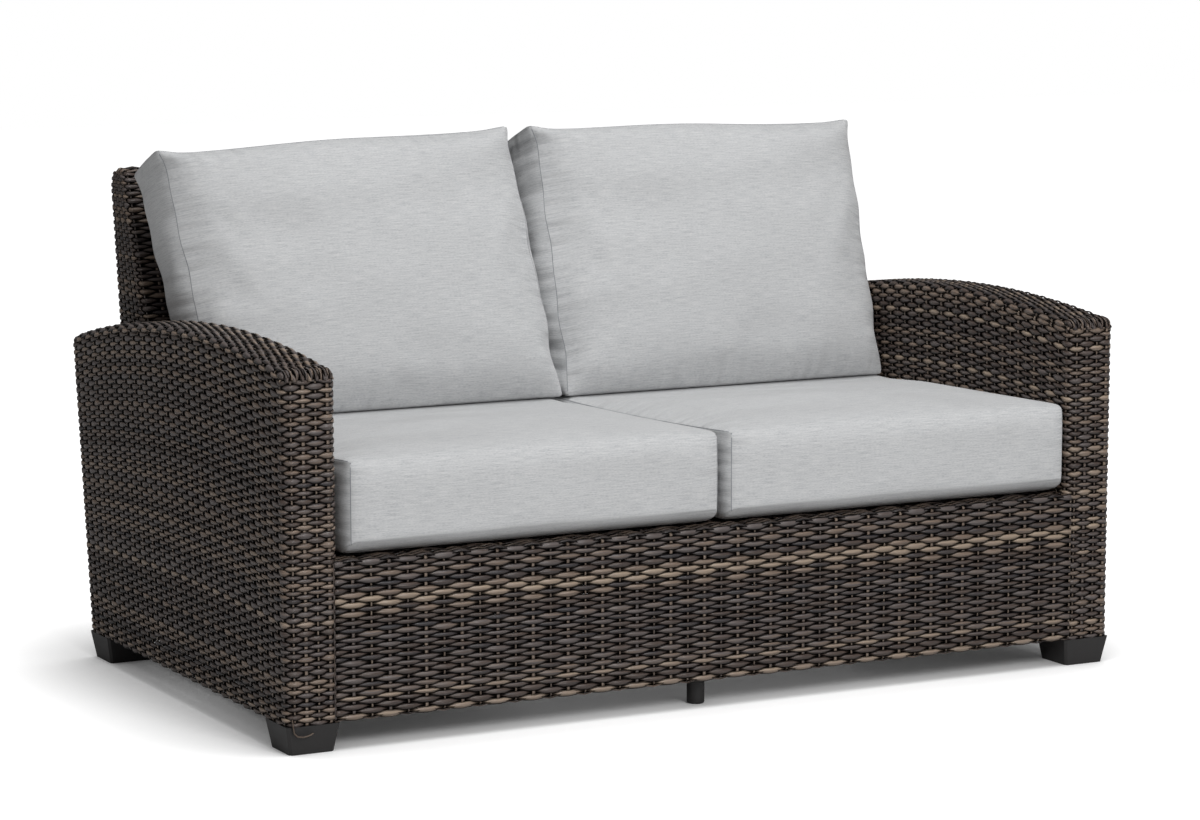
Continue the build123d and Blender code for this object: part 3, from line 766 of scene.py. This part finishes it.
# The ends of the front stakes, folded over the arm's front edge and tucked in behind it
def foldEnds(bundle, cap):
    for number in range(folds["count"]):
        share = (number + 0.5) / folds["count"]
        stray = chance.uniform(-folds["stray"], folds["stray"])
        reach = folds["reach"] * chance.uniform(*folds["reachChange"])
        u = np.linspace(0.02, reach, folds["steps"])
        center, normal = cap(u, folds["firstPlace"] + folds["span"] * share + stray)
        across = np.tile([1.0, 0.0, 0.0], (len(u), 1))
        toEnd = np.abs(np.linspace(-1, 1, folds["steps"]))
        dive = np.clip(toEnd - folds["diveStart"], 0, 1) * folds["dive"]
        center = center + normal * (folds["lift"] - dive)[:, None]
        shade = chance.uniform(*folds["shades"])
        bundle.add(center, across, normal, folds["halfWidth"], folds["thickness"], shade, False)


def weaveArm(side, sign, material):
    edge = armShape["edge"]
    xLow, xHigh = sorted((sign * innerHalf, sign * halfWidth))
    ridge, ways = armRidge()

    def shoulder(y):
        inner = np.clip(y, frontY + armShape["frontCorner"], None)
        return ridgeZ(inner) - edge - armShape["capGap"]

    ring, count = ringSurface(
        xLow, xHigh, edge, armShape["frontStakes"], armShape["sideStakes"], floorZ, shoulder,
        lambda z: np.full_like(z, frontY), rearY,
    )
    pieces = weaveRing(f"{side}Arm", ring, count, shoulder(frontY) - floorZ, material)
    cap, width = capSurface(xLow, xHigh, edge, ridge, ways, armShape["capStakes"])
    bundle = weaveOpen(cap, armShape["capStakes"], width)
    foldEnds(bundle, cap)
    pieces.append(bundle.build(f"{side}ArmCap", material))
    for piece in pieces:
        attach(piece, "frame")
    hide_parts(f"{side}_arm_weave")


# Heights up the back's face and round its top, spaced evenly along the surface
def backProfile():
    line = np.linspace(faceFoot, faceTop, 40)
    arc, _ = arcPath(backCenter, backShape["top"], angleOf(faceNormal), 180 - backShape["ringEnd"], 14)
    path = np.concatenate([line, arc[1:]])
    return path, runAlong(path)


def weaveBack(material):
    edge = backShape["edge"]
    path, run = backProfile()
    topZ = path[-1][1]

    def halfDepth(z):
        up = np.clip(z - backCenter[1], -backShape["top"], backShape["top"])
        return np.sqrt(backShape["top"] ** 2 - up ** 2)

    def frontLine(z):
        return np.where(z < faceTop[1], faceY(z), backCenter[0] - halfDepth(z))

    def rearLine(z):
        return np.where(z < rearTop[1], rearY(z), backCenter[0] + halfDepth(z))

    def heightAt(v):
        return (np.interp(v * run[-1], run, path[:, 1]) - seatZ) / (topZ - seatZ)

    plain, count = ringSurface(
        -innerHalf, innerHalf, edge, backShape["frontStakes"], backShape["sideStakes"], seatZ,
        lambda y: np.full_like(np.asarray(y, dtype=float), topZ), frontLine, rearLine,
    )

    def ring(u, v):
        center, normal = plain(u, float(heightAt(v)))
        up = np.clip((center[:, 2] - backCenter[1]) / backShape["top"], 0, 0.98)
        facing = np.abs(normal[:, 1])[:, None]
        bent = normal * np.sqrt(1 - up ** 2)[:, None] + np.array([0.0, 0.0, 1.0]) * (up[:, None] * facing)
        return center, unit(bent)

    pieces = weaveRing("back", ring, count, run[-1], material)
    end = backShape["ringEnd"]
    lap = backShape["topLap"]
    arc, ways = arcPath(backCenter, backShape["top"], 180 - end + lap, end - lap, 15)
    flat, length = panelSurface(arc, ways, -innerHalf, innerHalf, backShape["frontStakes"])

    def top(u, v):
        center, normal = flat(u, v)
        past = np.clip(np.abs(center[:, 0]) - (innerHalf - edge), 0, edge)
        drop = edge - np.sqrt(np.maximum(edge ** 2 - past ** 2, 0))
        side = np.sign(center[:, :1]) * (past / edge)[:, None]
        center = center - normal * drop[:, None]
        return center, unit(normal * (1 - 0.8 * np.abs(side)) + np.array([1.0, 0.0, 0.0]) * side)

    bundle = weaveOpen(top, backShape["frontStakes"], length)
    pieces.append(bundle.build("backTopWeave", material))
    for piece in pieces:
        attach(piece, "frame")
    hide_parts("back_weave")


looseEnd = {
    "points": (
        (-0.731, -0.469, 0.056), (-0.731, -0.4725, 0.045), (-0.730, -0.4735, 0.036), (-0.725, -0.474, 0.0305),
        (-0.715, -0.4745, 0.029), (-0.705, -0.4745, 0.031), (-0.699, -0.474, 0.0335),
    ),
    "corner": (-0.74, -0.47, 0.044),  # the arm's lower front corner where the points were measured
    "steps": 22,
    "halfWidth": 0.0015,
    "thickness": 0.0024,
    "shade": 0.62,
}


# The end of a stake that curls out over the left front foot
def hangLooseEnd(material):
    corner = np.array([-halfWidth, frontY, floorZ])
    knots = np.array(looseEnd["points"]) + (corner - np.array(looseEnd["corner"]))
    run = runAlong(knots)
    fine = np.linspace(0, run[-1], looseEnd["steps"])
    center = np.stack([np.interp(fine, run, knots[:, axis]) for axis in range(3)], axis=1)
    normal = np.tile([0.0, -1.0, 0.0], (len(fine), 1))
    across = acrossLine(center, normal)
    bundle = Bundle()
    half, thick = looseEnd["halfWidth"], looseEnd["thickness"]
    bundle.add(center, across, normal, half, thick, looseEnd["shade"], False)
    tail = bundle.build("looseStakeEnd", material)
    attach(tail, "frame")


panels = {
    "tuck": 0.007,  # how far the aprons reach into the arms
    "turnIn": 0.034,
    "corner": 0.006,
    "apronStakes": 44,
    "deckStakes": 32,
    "deckRows": 2.0,  # how much coarser the deck's rows are
}


# The front apron with its turned-over top, the rear panel and the deck under the cushions
def weavePanels(material):
    corner, turnIn, stakes = panels["corner"], panels["turnIn"], panels["apronStakes"]
    lower, lowerWays = arcPath((frontY + corner, floorZ + corner), corner, 270, 180, 5)
    upper, upperWays = arcPath((frontY + corner, seatZ - corner), corner, 180, 90, 5)
    path = np.concatenate([[[frontY + turnIn, floorZ]], lower, upper, [[frontY + turnIn, seatZ]]])
    ways = np.concatenate([[[0.0, -1.0]], lowerWays, upperWays, [[0.0, 1.0]]])
    reach = innerHalf + panels["tuck"]
    apron, length = panelSurface(path, ways, -reach, reach, stakes)
    front = weaveOpen(apron, stakes, length).build("frontApronWeave", material)
    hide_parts("front_apron_weave")
    path = np.array([[rearY(seatZ), seatZ], [rearFoot[0], floorZ], [rearFoot[0] - turnIn, floorZ]])
    ways = np.array([rearNormal, rearNormal, [0.0, -1.0]])
    rear, length = panelSurface(path, ways, reach, -reach, backShape["frontStakes"])
    behind = weaveOpen(rear, backShape["frontStakes"], length).build("rearApronWeave", material)
    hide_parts("rear_apron_weave")
    path = np.array([[deckBox[0][1], seatZ], [deckBox[1][1], seatZ]])
    ways = np.array([[0.0, 1.0], [0.0, 1.0]])
    stakes = panels["deckStakes"]
    deck, length = panelSurface(path, ways, -innerHalf, innerHalf, stakes)
    under = weaveOpen(deck, stakes, length, panels["deckRows"]).build("seatDeckWeave", material)
    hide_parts("seat_deck_weave")
    for piece in (front, behind, under):
        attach(piece, "frame")


# Cushions
cushionShape = {
    "grid": 0.012,
    "width": 0.635,
    "seatHeight": 0.148,
    "backDepth": 0.127,
    "backHeight": 0.470,
    "seamRadius": 0.005,
    "frontRadius": 0.020,
    "steepness": 2.7,
    "swellReach": 0.06,
    "pressure": 0.3,
    "quality": 4,
    "mass": 0.3,
    "stiffness": 60.0,
    "bending": 2.0,
    "growth": 0.006,
    "puckerReach": 0.030,
    "clothShifts": (3.0, 7.0, 5.0),  # between the cloth patterns of the sides, the ends and the faces
    "frames": 20,
    "cap": 0.016,
    "seamHalfWidth": 0.0009,
    "seamThickness": 0.0010,
    "seamShade": 0.5,
}
restGap = 0.0006


# Points and quads of a box surface, with lattice places from 0 to 1 along each side
def shellGrid(counts):
    places, quads, sides, index = [], [], [], {}

    def corner(key):
        if key not in index:
            index[key] = len(places)
            places.append([key[axis] / counts[axis] for axis in range(3)])
        return index[key]

    for axis in range(3):
        first, second = [other for other in range(3) if other != axis]
        for end in (0, 1):
            for i in range(counts[first]):
                for j in range(counts[second]):
                    keys = []
                    for di, dj in ((0, 0), (1, 0), (1, 1), (0, 1)):
                        key = [0, 0, 0]
                        key[axis] = end * counts[axis]
                        key[first], key[second] = i + di, j + dj
                        keys.append(corner(tuple(key)))
                    outward = (end == 1) != (axis == 1)
                    quads.append(keys if outward else keys[::-1])
                    sides.append((axis, end))
    return np.array(places), quads, sides, index


# Box points with edges rounded to one radius
def roundedBox(places, size, radius):
    points = (places - 0.5) * size
    half = size / 2
    inner = np.clip(points, -(half - radius), half - radius)
    out = points - inner
    length = np.linalg.norm(out, axis=1, keepdims=True)
    moved = inner + out / np.maximum(length, 1e-9) * np.minimum(length, radius)
    return np.where(length > 1e-9, moved, points)


# Shares from the nearer end
def fromEnd(share):
    return np.minimum(share, 1 - share)


# A crown from 0 at both ends to 1 in the middle
def pillow(share, power=0.55):
    return np.clip(1 - (2 * share - 1) ** 2, 0, 1) ** power


# Stuffing: rises steeply from a seam and is full a short way in from it
def swell(gap, reach):
    return 1 - (1 - np.clip(gap / reach, 0, 1)) ** cushionShape["steepness"]


def buildCushion(name, size, shape, material, node, keepOut):
    counts = [max(4, round(length / cushionShape["grid"])) for length in size]
    places, quads, sides, index = shellGrid(counts)
    flat = roundedBox(places, np.array(size), cushionShape["seamRadius"])
    points = shape(flat, places)
    mesh = bpy.data.meshes.new(name)
    mesh.from_pydata([tuple(point) for point in points], [], quads)
    cloth = mesh.uv_layers.new(name="cloth")
    uv = []
    sideShift, endShift, faceShift = cushionShape["clothShifts"]
    for quad, (axis, end) in zip(quads, sides):
        for corner in quad:
            x, y, z = flat[corner]
            if axis == 0:
                uv.append((y + sideShift + end, z))
            elif axis == 1:
                uv.append((x + endShift * end, z + faceShift))
            else:
                uv.append((x + endShift * end, y))
    cloth.data.foreach_set("uv", np.array(uv, dtype=np.float32).ravel())
    mesh.polygons.foreach_set("use_smooth", np.ones(len(quads), dtype=bool))
    mesh.materials.append(material)
    mesh.update()
    upright = size[2] > size[1]
    for label, axis, amount in (("besideSides", 0, 1.0), ("besideEnds", 2, 1.0 if upright else 0.0)):
        reach = fromEnd(places[:, axis]) * size[axis]
        near = amount * np.exp(-reach / cushionShape["puckerReach"])
        addLayer(mesh, label, near)
    piece = addObject(name, mesh)
    inflate(piece, points, places, keepOut)
    bpy.ops.object.select_all(action="DESELECT")
    piece.select_set(True)
    bpy.context.view_layer.objects.active = piece
    smooth = piece.modifiers.new("smooth", "SUBSURF")
    smooth.levels = smooth.render_levels = 1
    smooth.uv_smooth = "NONE"
    bpy.ops.object.modifier_apply(modifier="smooth")
    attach(piece, node)
    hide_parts(f"{node}_cover", f"{node}_foam")
    return piece, counts, index


# Moves the points out of what the cushion rests on
def settle(piece, points, keepOut):
    moved = keepOut(points)
    piece.data.vertices.foreach_set("co", moved.astype(np.float32).ravel())
    piece.data.update()


# Stretches the filled cushion back until its sewn edges are as far apart as they were cut
def holdEdges(puffed, start, places):
    ends = (places < 0.001) | (places > 0.999)
    edges = ends.sum(axis=1) >= 2
    held = puffed.copy()
    for axis in range(3):
        low = edges & (places[:, axis] < 0.001)
        high = edges & (places[:, axis] > 0.999)
        wasLow, wasHigh = start[low, axis].mean(), start[high, axis].mean()
        nowLow, nowHigh = puffed[low, axis].mean(), puffed[high, axis].mean()
        scale = (wasHigh - wasLow) / (nowHigh - nowLow)
        held[:, axis] = wasLow + (puffed[:, axis] - nowLow) * scale
    return held


# Fills the cover with air as cloth, and keeps each point near where it was sewn
def inflate(piece, start, places, keepOut):
    cloth = piece.modifiers.new("fill", "CLOTH")
    settings = cloth.settings
    settings.quality = cushionShape["quality"]
    settings.mass = cushionShape["mass"]
    settings.tension_stiffness = settings.compression_stiffness = cushionShape["stiffness"]
    settings.shear_stiffness = cushionShape["stiffness"] / 3
    settings.bending_stiffness = cushionShape["bending"]
    settings.use_pressure = True
    settings.uniform_pressure_force = cushionShape["pressure"]
    settings.effector_weights.gravity = 0
    settings.shrink_min = -cushionShape["growth"]
    scene = bpy.context.scene
    for number in range(1, cushionShape["frames"] + 1):
        scene.frame_set(number)
    solved = piece.evaluated_get(bpy.context.evaluated_depsgraph_get()).to_mesh()
    puffed = np.empty(len(start) * 3, dtype=np.float32)
    solved.vertices.foreach_get("co", puffed)
    puffed = puffed.reshape(-1, 3).astype(float)
    piece.modifiers.clear()
    scene.frame_set(1)
    shift = holdEdges(puffed, start, places) - start
    length = np.linalg.norm(shift, axis=1, keepdims=True)
    shift *= np.minimum(1, cushionShape["cap"] / np.maximum(length, 1e-9))
    print(piece.name, "filled, moved", round(float(length.max()) * 1000, 1), "mm at most")
    settle(piece, start + shift, keepOut)


# A fine sewn seam along a row of the cushion's own points
def sewSeam(name, piece, index, keys, material, body):
    mesh = piece.data
    picked = [index[key] for key in keys]
    center = np.array([mesh.vertices[number].co[:] for number in picked])
    normal = unit(np.array([mesh.vertices[number].normal[:] for number in picked]))
    bundle = Bundle()
    half, thick = cushionShape["seamHalfWidth"], cushionShape["seamThickness"]
    shade = cushionShape["seamShade"]
    across = acrossLine(center, normal)
    bundle.add(center - normal * thick / 4, across, normal, half, thick, shade, False)
    seam = bundle.build(name, material)
    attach(seam, body)


# Keys of a straight run of box points along one axis
def lattice(counts, fixed, axis):
    keys = []
    for number in range(counts[axis] + 1):
        key = list(fixed)
        key[axis] = number
        keys.append(tuple(key))
    return keys


seatCushion = {
    "depthSlack": 0.004,
    "frontGap": 0.003,
    "rearGap": 0.0004,
    "underStart": 0.006,
    "underRound": 0.045,
    "underRise": 0.025,
    "crown": 0.009,
    "frontHeight": 0.438,
    "sitHeight": 0.424,
    "sitSetback": 0.520,
    "sitRamp": 0.10,
    "sideSag": 0.003,
    "frontInset": 0.007,  # how far the front ends of the sides are drawn in
    "insetReach": 0.022,
    "sideCrown": 0.006,
    "faceCrown": 0.009,
    "faceFade": 20,
}
backCushion = {
    "toe": (0.556, 0.4244),
    "top": (0.722, 0.870),
    "topRun": 0.120,
    "topDrop": 0.052,
    "heelRun": 0.124,
    "frontCrown": 0.043,
    "frontReach": 0.074,
    "topReach": 0.050,
    "rearCrown": 0.034,
    "topCrown": 0.004,
    "sideCrown": 0.011,
    "waist": 0.0065,  # how far the side seams are drawn in between the corners
    "waistReach": 0.12,
    "sag": 0.009,  # how far the top seam hangs between the corners
    "sagEase": 0.7,  # how much less it hangs at its right end
    "ripple": 0.0020,
    # Waves of the seams: (turns of the sine over the seam, change with the cushion's place)
    "topWave": (9.1, 40),
    "sideWave": (15, 30),
    "fineWave": (33, 2.1, 0.6),  # turns, start and share of the ripple
    "ear": 0.007,  # how far the top corners stick out
    "stripFoot": (0.656, 0.4244),
    "stripAngle": 41.2,
    "armClearance": 0.015,
    "faceGap": 0.0012,
    "seatGap": 0.0004,
}


def seatForm(edgeX, box):
    low, high = box
    depth = high[1] - low[1]
    width, height, reach = (cushionShape[key] for key in ("width", "seatHeight", "swellReach"))

    def shape(flat, places):
        a, b, c = places.T
        aside = 2 * a - 1
        x = edgeX + width / 2 + flat[:, 0]
        y = low[1] + seatCushion["frontGap"] + depth / 2 + flat[:, 1]
        setback = np.clip(y - frontY, 0, None)
        front, sit = seatCushion["frontHeight"], seatCushion["sitHeight"]
        slope = np.clip(setback / seatCushion["sitSetback"], 0, 1)
        crest = 4 * slope * (1 - slope)
        top = front + (sit - front) * slope + seatCushion["crown"] * crest * pillow(a)
        top = top - seatCushion["sideSag"] * (1 - pillow(a)) * crest
        bottom = seatZ + restGap
        share = flat[:, 2] / (high[2] - low[2]) + 0.5
        z = bottom + share * (top - bottom)
        bend = cushionShape["frontRadius"]
        near = np.clip(1 - setback / bend, 0, 1)
        drop = bend * (1 - np.sqrt(np.clip(1 - near ** 2, 0, 1)))
        z = z - drop * np.clip((share - 0.5) * 2, 0, 1) ** 3
        faceSwell = swell(fromEnd(a) * width, reach) * swell(fromEnd(c) * height, reach)
        y = y - seatCushion["faceCrown"] * faceSwell * np.clip(1 - b * seatCushion["faceFade"], 0, 1)
        bulge = aside * seatCushion["sideCrown"] * pillow(c) * swell(fromEnd(b) * depth, reach)
        x = x + bulge * (np.abs(aside) > 0.98)
        inset = aside * np.abs(aside) ** 6 * seatCushion["frontInset"]
        x = x - inset * np.exp(-setback / seatCushion["insetReach"])
        return np.stack([x, y, z], axis=1)

    return shape


# Keeps a seat cushion on the deck, under the back cushion and between its neighbours
def seatKeepOut(points, room):
    points = points.copy()
    points[:, 0] = np.clip(points[:, 0], *room)
    past = points[:, 1] - frontY - seatCushion["underStart"]
    under = np.clip(1 - past / seatCushion["underRound"], 0, 1) ** 2
    points[:, 2] = np.maximum(points[:, 2], seatZ + restGap + seatCushion["underRise"] * under)
    ahead = np.clip(seatCushion["sitSetback"] - (points[:, 1] - frontY), 0, None)
    points[:, 2] = np.minimum(points[:, 2], seatCushion["sitHeight"] + seatCushion["sitRamp"] * ahead)
    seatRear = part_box("left_seat_cushion_cover")[1][1] - seatCushion["rearGap"]
    points[:, 1] = np.clip(points[:, 1], frontY - 0.001, seatRear)
    return points


def backForm(edgeX, lean, drops):
    toe, top = (np.array(backCushion[key]) + np.array([frontY, 0.0]) for key in ("toe", "top"))
    rearTopPoint = top + np.array([backCushion["topRun"], -backCushion["topDrop"]])
    heel = toe + np.array([backCushion["heelRun"], 0.0])
    way = (top - toe) / np.linalg.norm(top - toe)
    outFront = np.array([-way[1], way[0]])
    size = width, depth, height = [cushionShape[key] for key in ("width", "backDepth", "backHeight")]

    def shape(flat, places):
        a, b, c = places.T
        across, deep, tall = (flat[:, axis] / size[axis] + 0.5 for axis in range(3))
        front = toe[None] + (top - toe)[None] * tall[:, None]
        rear = heel[None] + (rearTopPoint - heel)[None] * tall[:, None]
        side = front + (rear - front) * deep[:, None]
        side[:, 1] -= (drops[0] * (1 - across) + drops[1] * across) * tall
        reach = backCushion["frontReach"]
        sideSwell = swell(fromEnd(across) * width, reach)
        upSwell = swell(tall * height, reach) * swell((1 - tall) * height, backCushion["topReach"])
        frontPush = backCushion["frontCrown"] * sideSwell * upSwell
        rearPush = backCushion["rearCrown"] * pillow(across) * pillow(tall)
        topPush = backCushion["topCrown"] * pillow(across) * pillow(deep)
        side = side + outFront[None] * np.where(b < 0.001, frontPush, 0)[:, None]
        side = side - outFront[None] * np.where(b > 0.999, rearPush, 0)[:, None]
        side[:, 1] += np.where(c > 0.999, topPush, 0)
        hang = backCushion["sag"] * swell(fromEnd(across) * width, cushionShape["swellReach"]) * tall ** 6
        hang = hang * (1 - backCushion["sagEase"] * across ** 5)
        turns, change = backCushion["topWave"]
        side[:, 1] -= hang + backCushion["ripple"] * np.sin(turns * across + change * edgeX) * tall ** 6
        x = edgeX + across * width + (side[:, 1] - toe[1]) * math.tan(math.radians(lean))
        outward = (2 * across - 1) * np.abs(2 * across - 1) ** 5
        drawn = backCushion["waist"] * swell(fromEnd(tall) * height, backCushion["waistReach"])
        (turns, change), (fineTurns, start, part) = backCushion["sideWave"], backCushion["fineWave"]
        waves = np.sin(turns * tall + change * edgeX) + part * np.sin(fineTurns * tall + start)
        wavy = backCushion["ripple"] * waves
        x = x - outward * (drawn + wavy - backCushion["ear"] * tall ** 8)
        sidePush = (2 * a - 1) * backCushion["sideCrown"] * pillow(tall) * pillow(deep)
        x = x + np.where(np.abs(2 * a - 1) > 0.999, sidePush, 0)
        return np.stack([x, side[:, 0], side[:, 1]], axis=1)

    return shape


# Keeps a back cushion above the seat cushion and in front of the woven back
def backKeepOut(points, room):
    points = points.copy()
    floor = backCushion["toe"][1] + backCushion["seatGap"]
    points[:, 0] = np.maximum(points[:, 0], room[0])
    beside = points[:, 2] < peakZ + backCushion["armClearance"]
    points[beside, 0] = np.minimum(points[beside, 0], room[1])
    points[:, 2] = np.maximum(points[:, 2], floor)
    points[:, 1] = np.minimum(points[:, 1], faceY(points[:, 2]) - backCushion["faceGap"])
    strip = np.array(backCushion["stripFoot"]) + np.array([frontY, 0.0])
    angle = math.radians(backCushion["stripAngle"])
    way = np.array([math.cos(angle), -math.sin(angle)])
    past = np.clip((points[:, 1:] - strip) @ way + restGap, 0, None)
    points[:, 1:] -= past[:, None] * way
    points[:, 2] = np.maximum(points[:, 2], floor)
    return points


cushions = {
    # name: (kind, node and body, left edge, lean in degrees, drops of the top's two ends, room sideways)
    "leftSeat": ("seat", "left_seat_cushion", -0.634, 0, (0, 0), (-0.639, 0.0035)),
    "rightSeat": ("seat", "right_seat_cushion", 0.016, 0, (0, 0), (0.0125, 0.6518)),
    "leftBack": ("back", "left_back_cushion", -0.622, -3.3, (0.010, -0.009), (-0.68, 0.0134)),
    "rightBack": ("back", "right_back_cushion", 0.014, 2.7, (-0.011, 0.0), (0.0139, 0.6518)),
}


def buildCushions(material, thread):
    for name, (kind, node, edgeX, lean, drops, sideRoom) in cushions.items():
        if kind == "seat":
            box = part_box(f"{node}_cover")
            depth = box[1][1] - box[0][1] - seatCushion["depthSlack"]
            size = (cushionShape["width"], depth, cushionShape["seatHeight"])
            shape, keepOut = seatForm(edgeX, box), lambda points: seatKeepOut(points, sideRoom)
        else:
            size = [cushionShape[key] for key in ("width", "backDepth", "backHeight")]
            shape, keepOut = backForm(edgeX, lean, drops), lambda points: backKeepOut(points, sideRoom)
        piece, counts, index = buildCushion(f"{name}Cushion", size, shape, material, node, keepOut)
        nx, ny, nz = counts
        runs = {}
        if kind == "seat":
            for label, x in (("Left", 0), ("Right", nx)):
                runs[label] = lattice(counts, (x, 0, 0), 2) + lattice(counts, (x, 0, nz), 1)[1:]
        else:
            for label, y in (("Front", 0), ("Rear", ny)):
                up, over = lattice(counts, (0, y, 0), 2), lattice(counts, (0, y, nz), 0)
                down = lattice(counts, (nx, y, 0), 2)[::-1]
                runs[label] = up + over[1:] + down[1:]
        for label, keys in runs.items():
            sewSeam(f"{name}Seam{label}", piece, index, keys, thread, node)


# The model's own pieces get their finishes: the first set of words that a name holds decides
def finishNodes(finishes):
    for name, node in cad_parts.items():
        for words, material in finishes:
            if any(word in name for word in words):
                node.data.materials.clear()
                node.data.materials.append(material)
                break


wovenResin = buildResin()
cushionCloth = buildFabric()
blockPlastic = buildGrained("blockPlastic", moulded)
frameCoat = buildGrained("frameCoat", painted)
plating = buildGrained("plating", plated, 1.0)
zipTape = buildGrained("zipTape", tape)
seamThread = buildGrained("seamThread", sewing)
finishNodes([
    (("slider",), plating),
    (("_zip",), zipTape),
    (("_foot", "leg_cap"), blockPlastic),
    (("screws", "nuts"), plating),
    (("post", "rail", "beam", "bar", "tie", "plate", "upright", "leg"), frameCoat),
    (("foam", "cover"), cushionCloth),
])
print("finishes ready")
buildCamera()
buildLamps()
buildRoom()
for armSide, armSign in (("left", -1), ("right", 1)):
    weaveArm(armSide, armSign, wovenResin)
weaveBack(wovenResin)
weavePanels(wovenResin)
hangLooseEnd(wovenResin)
print("weave done")
buildCushions(cushionCloth, seamThread)
print("cushions done")
bpy.context.scene.view_settings.view_transform = "Standard"
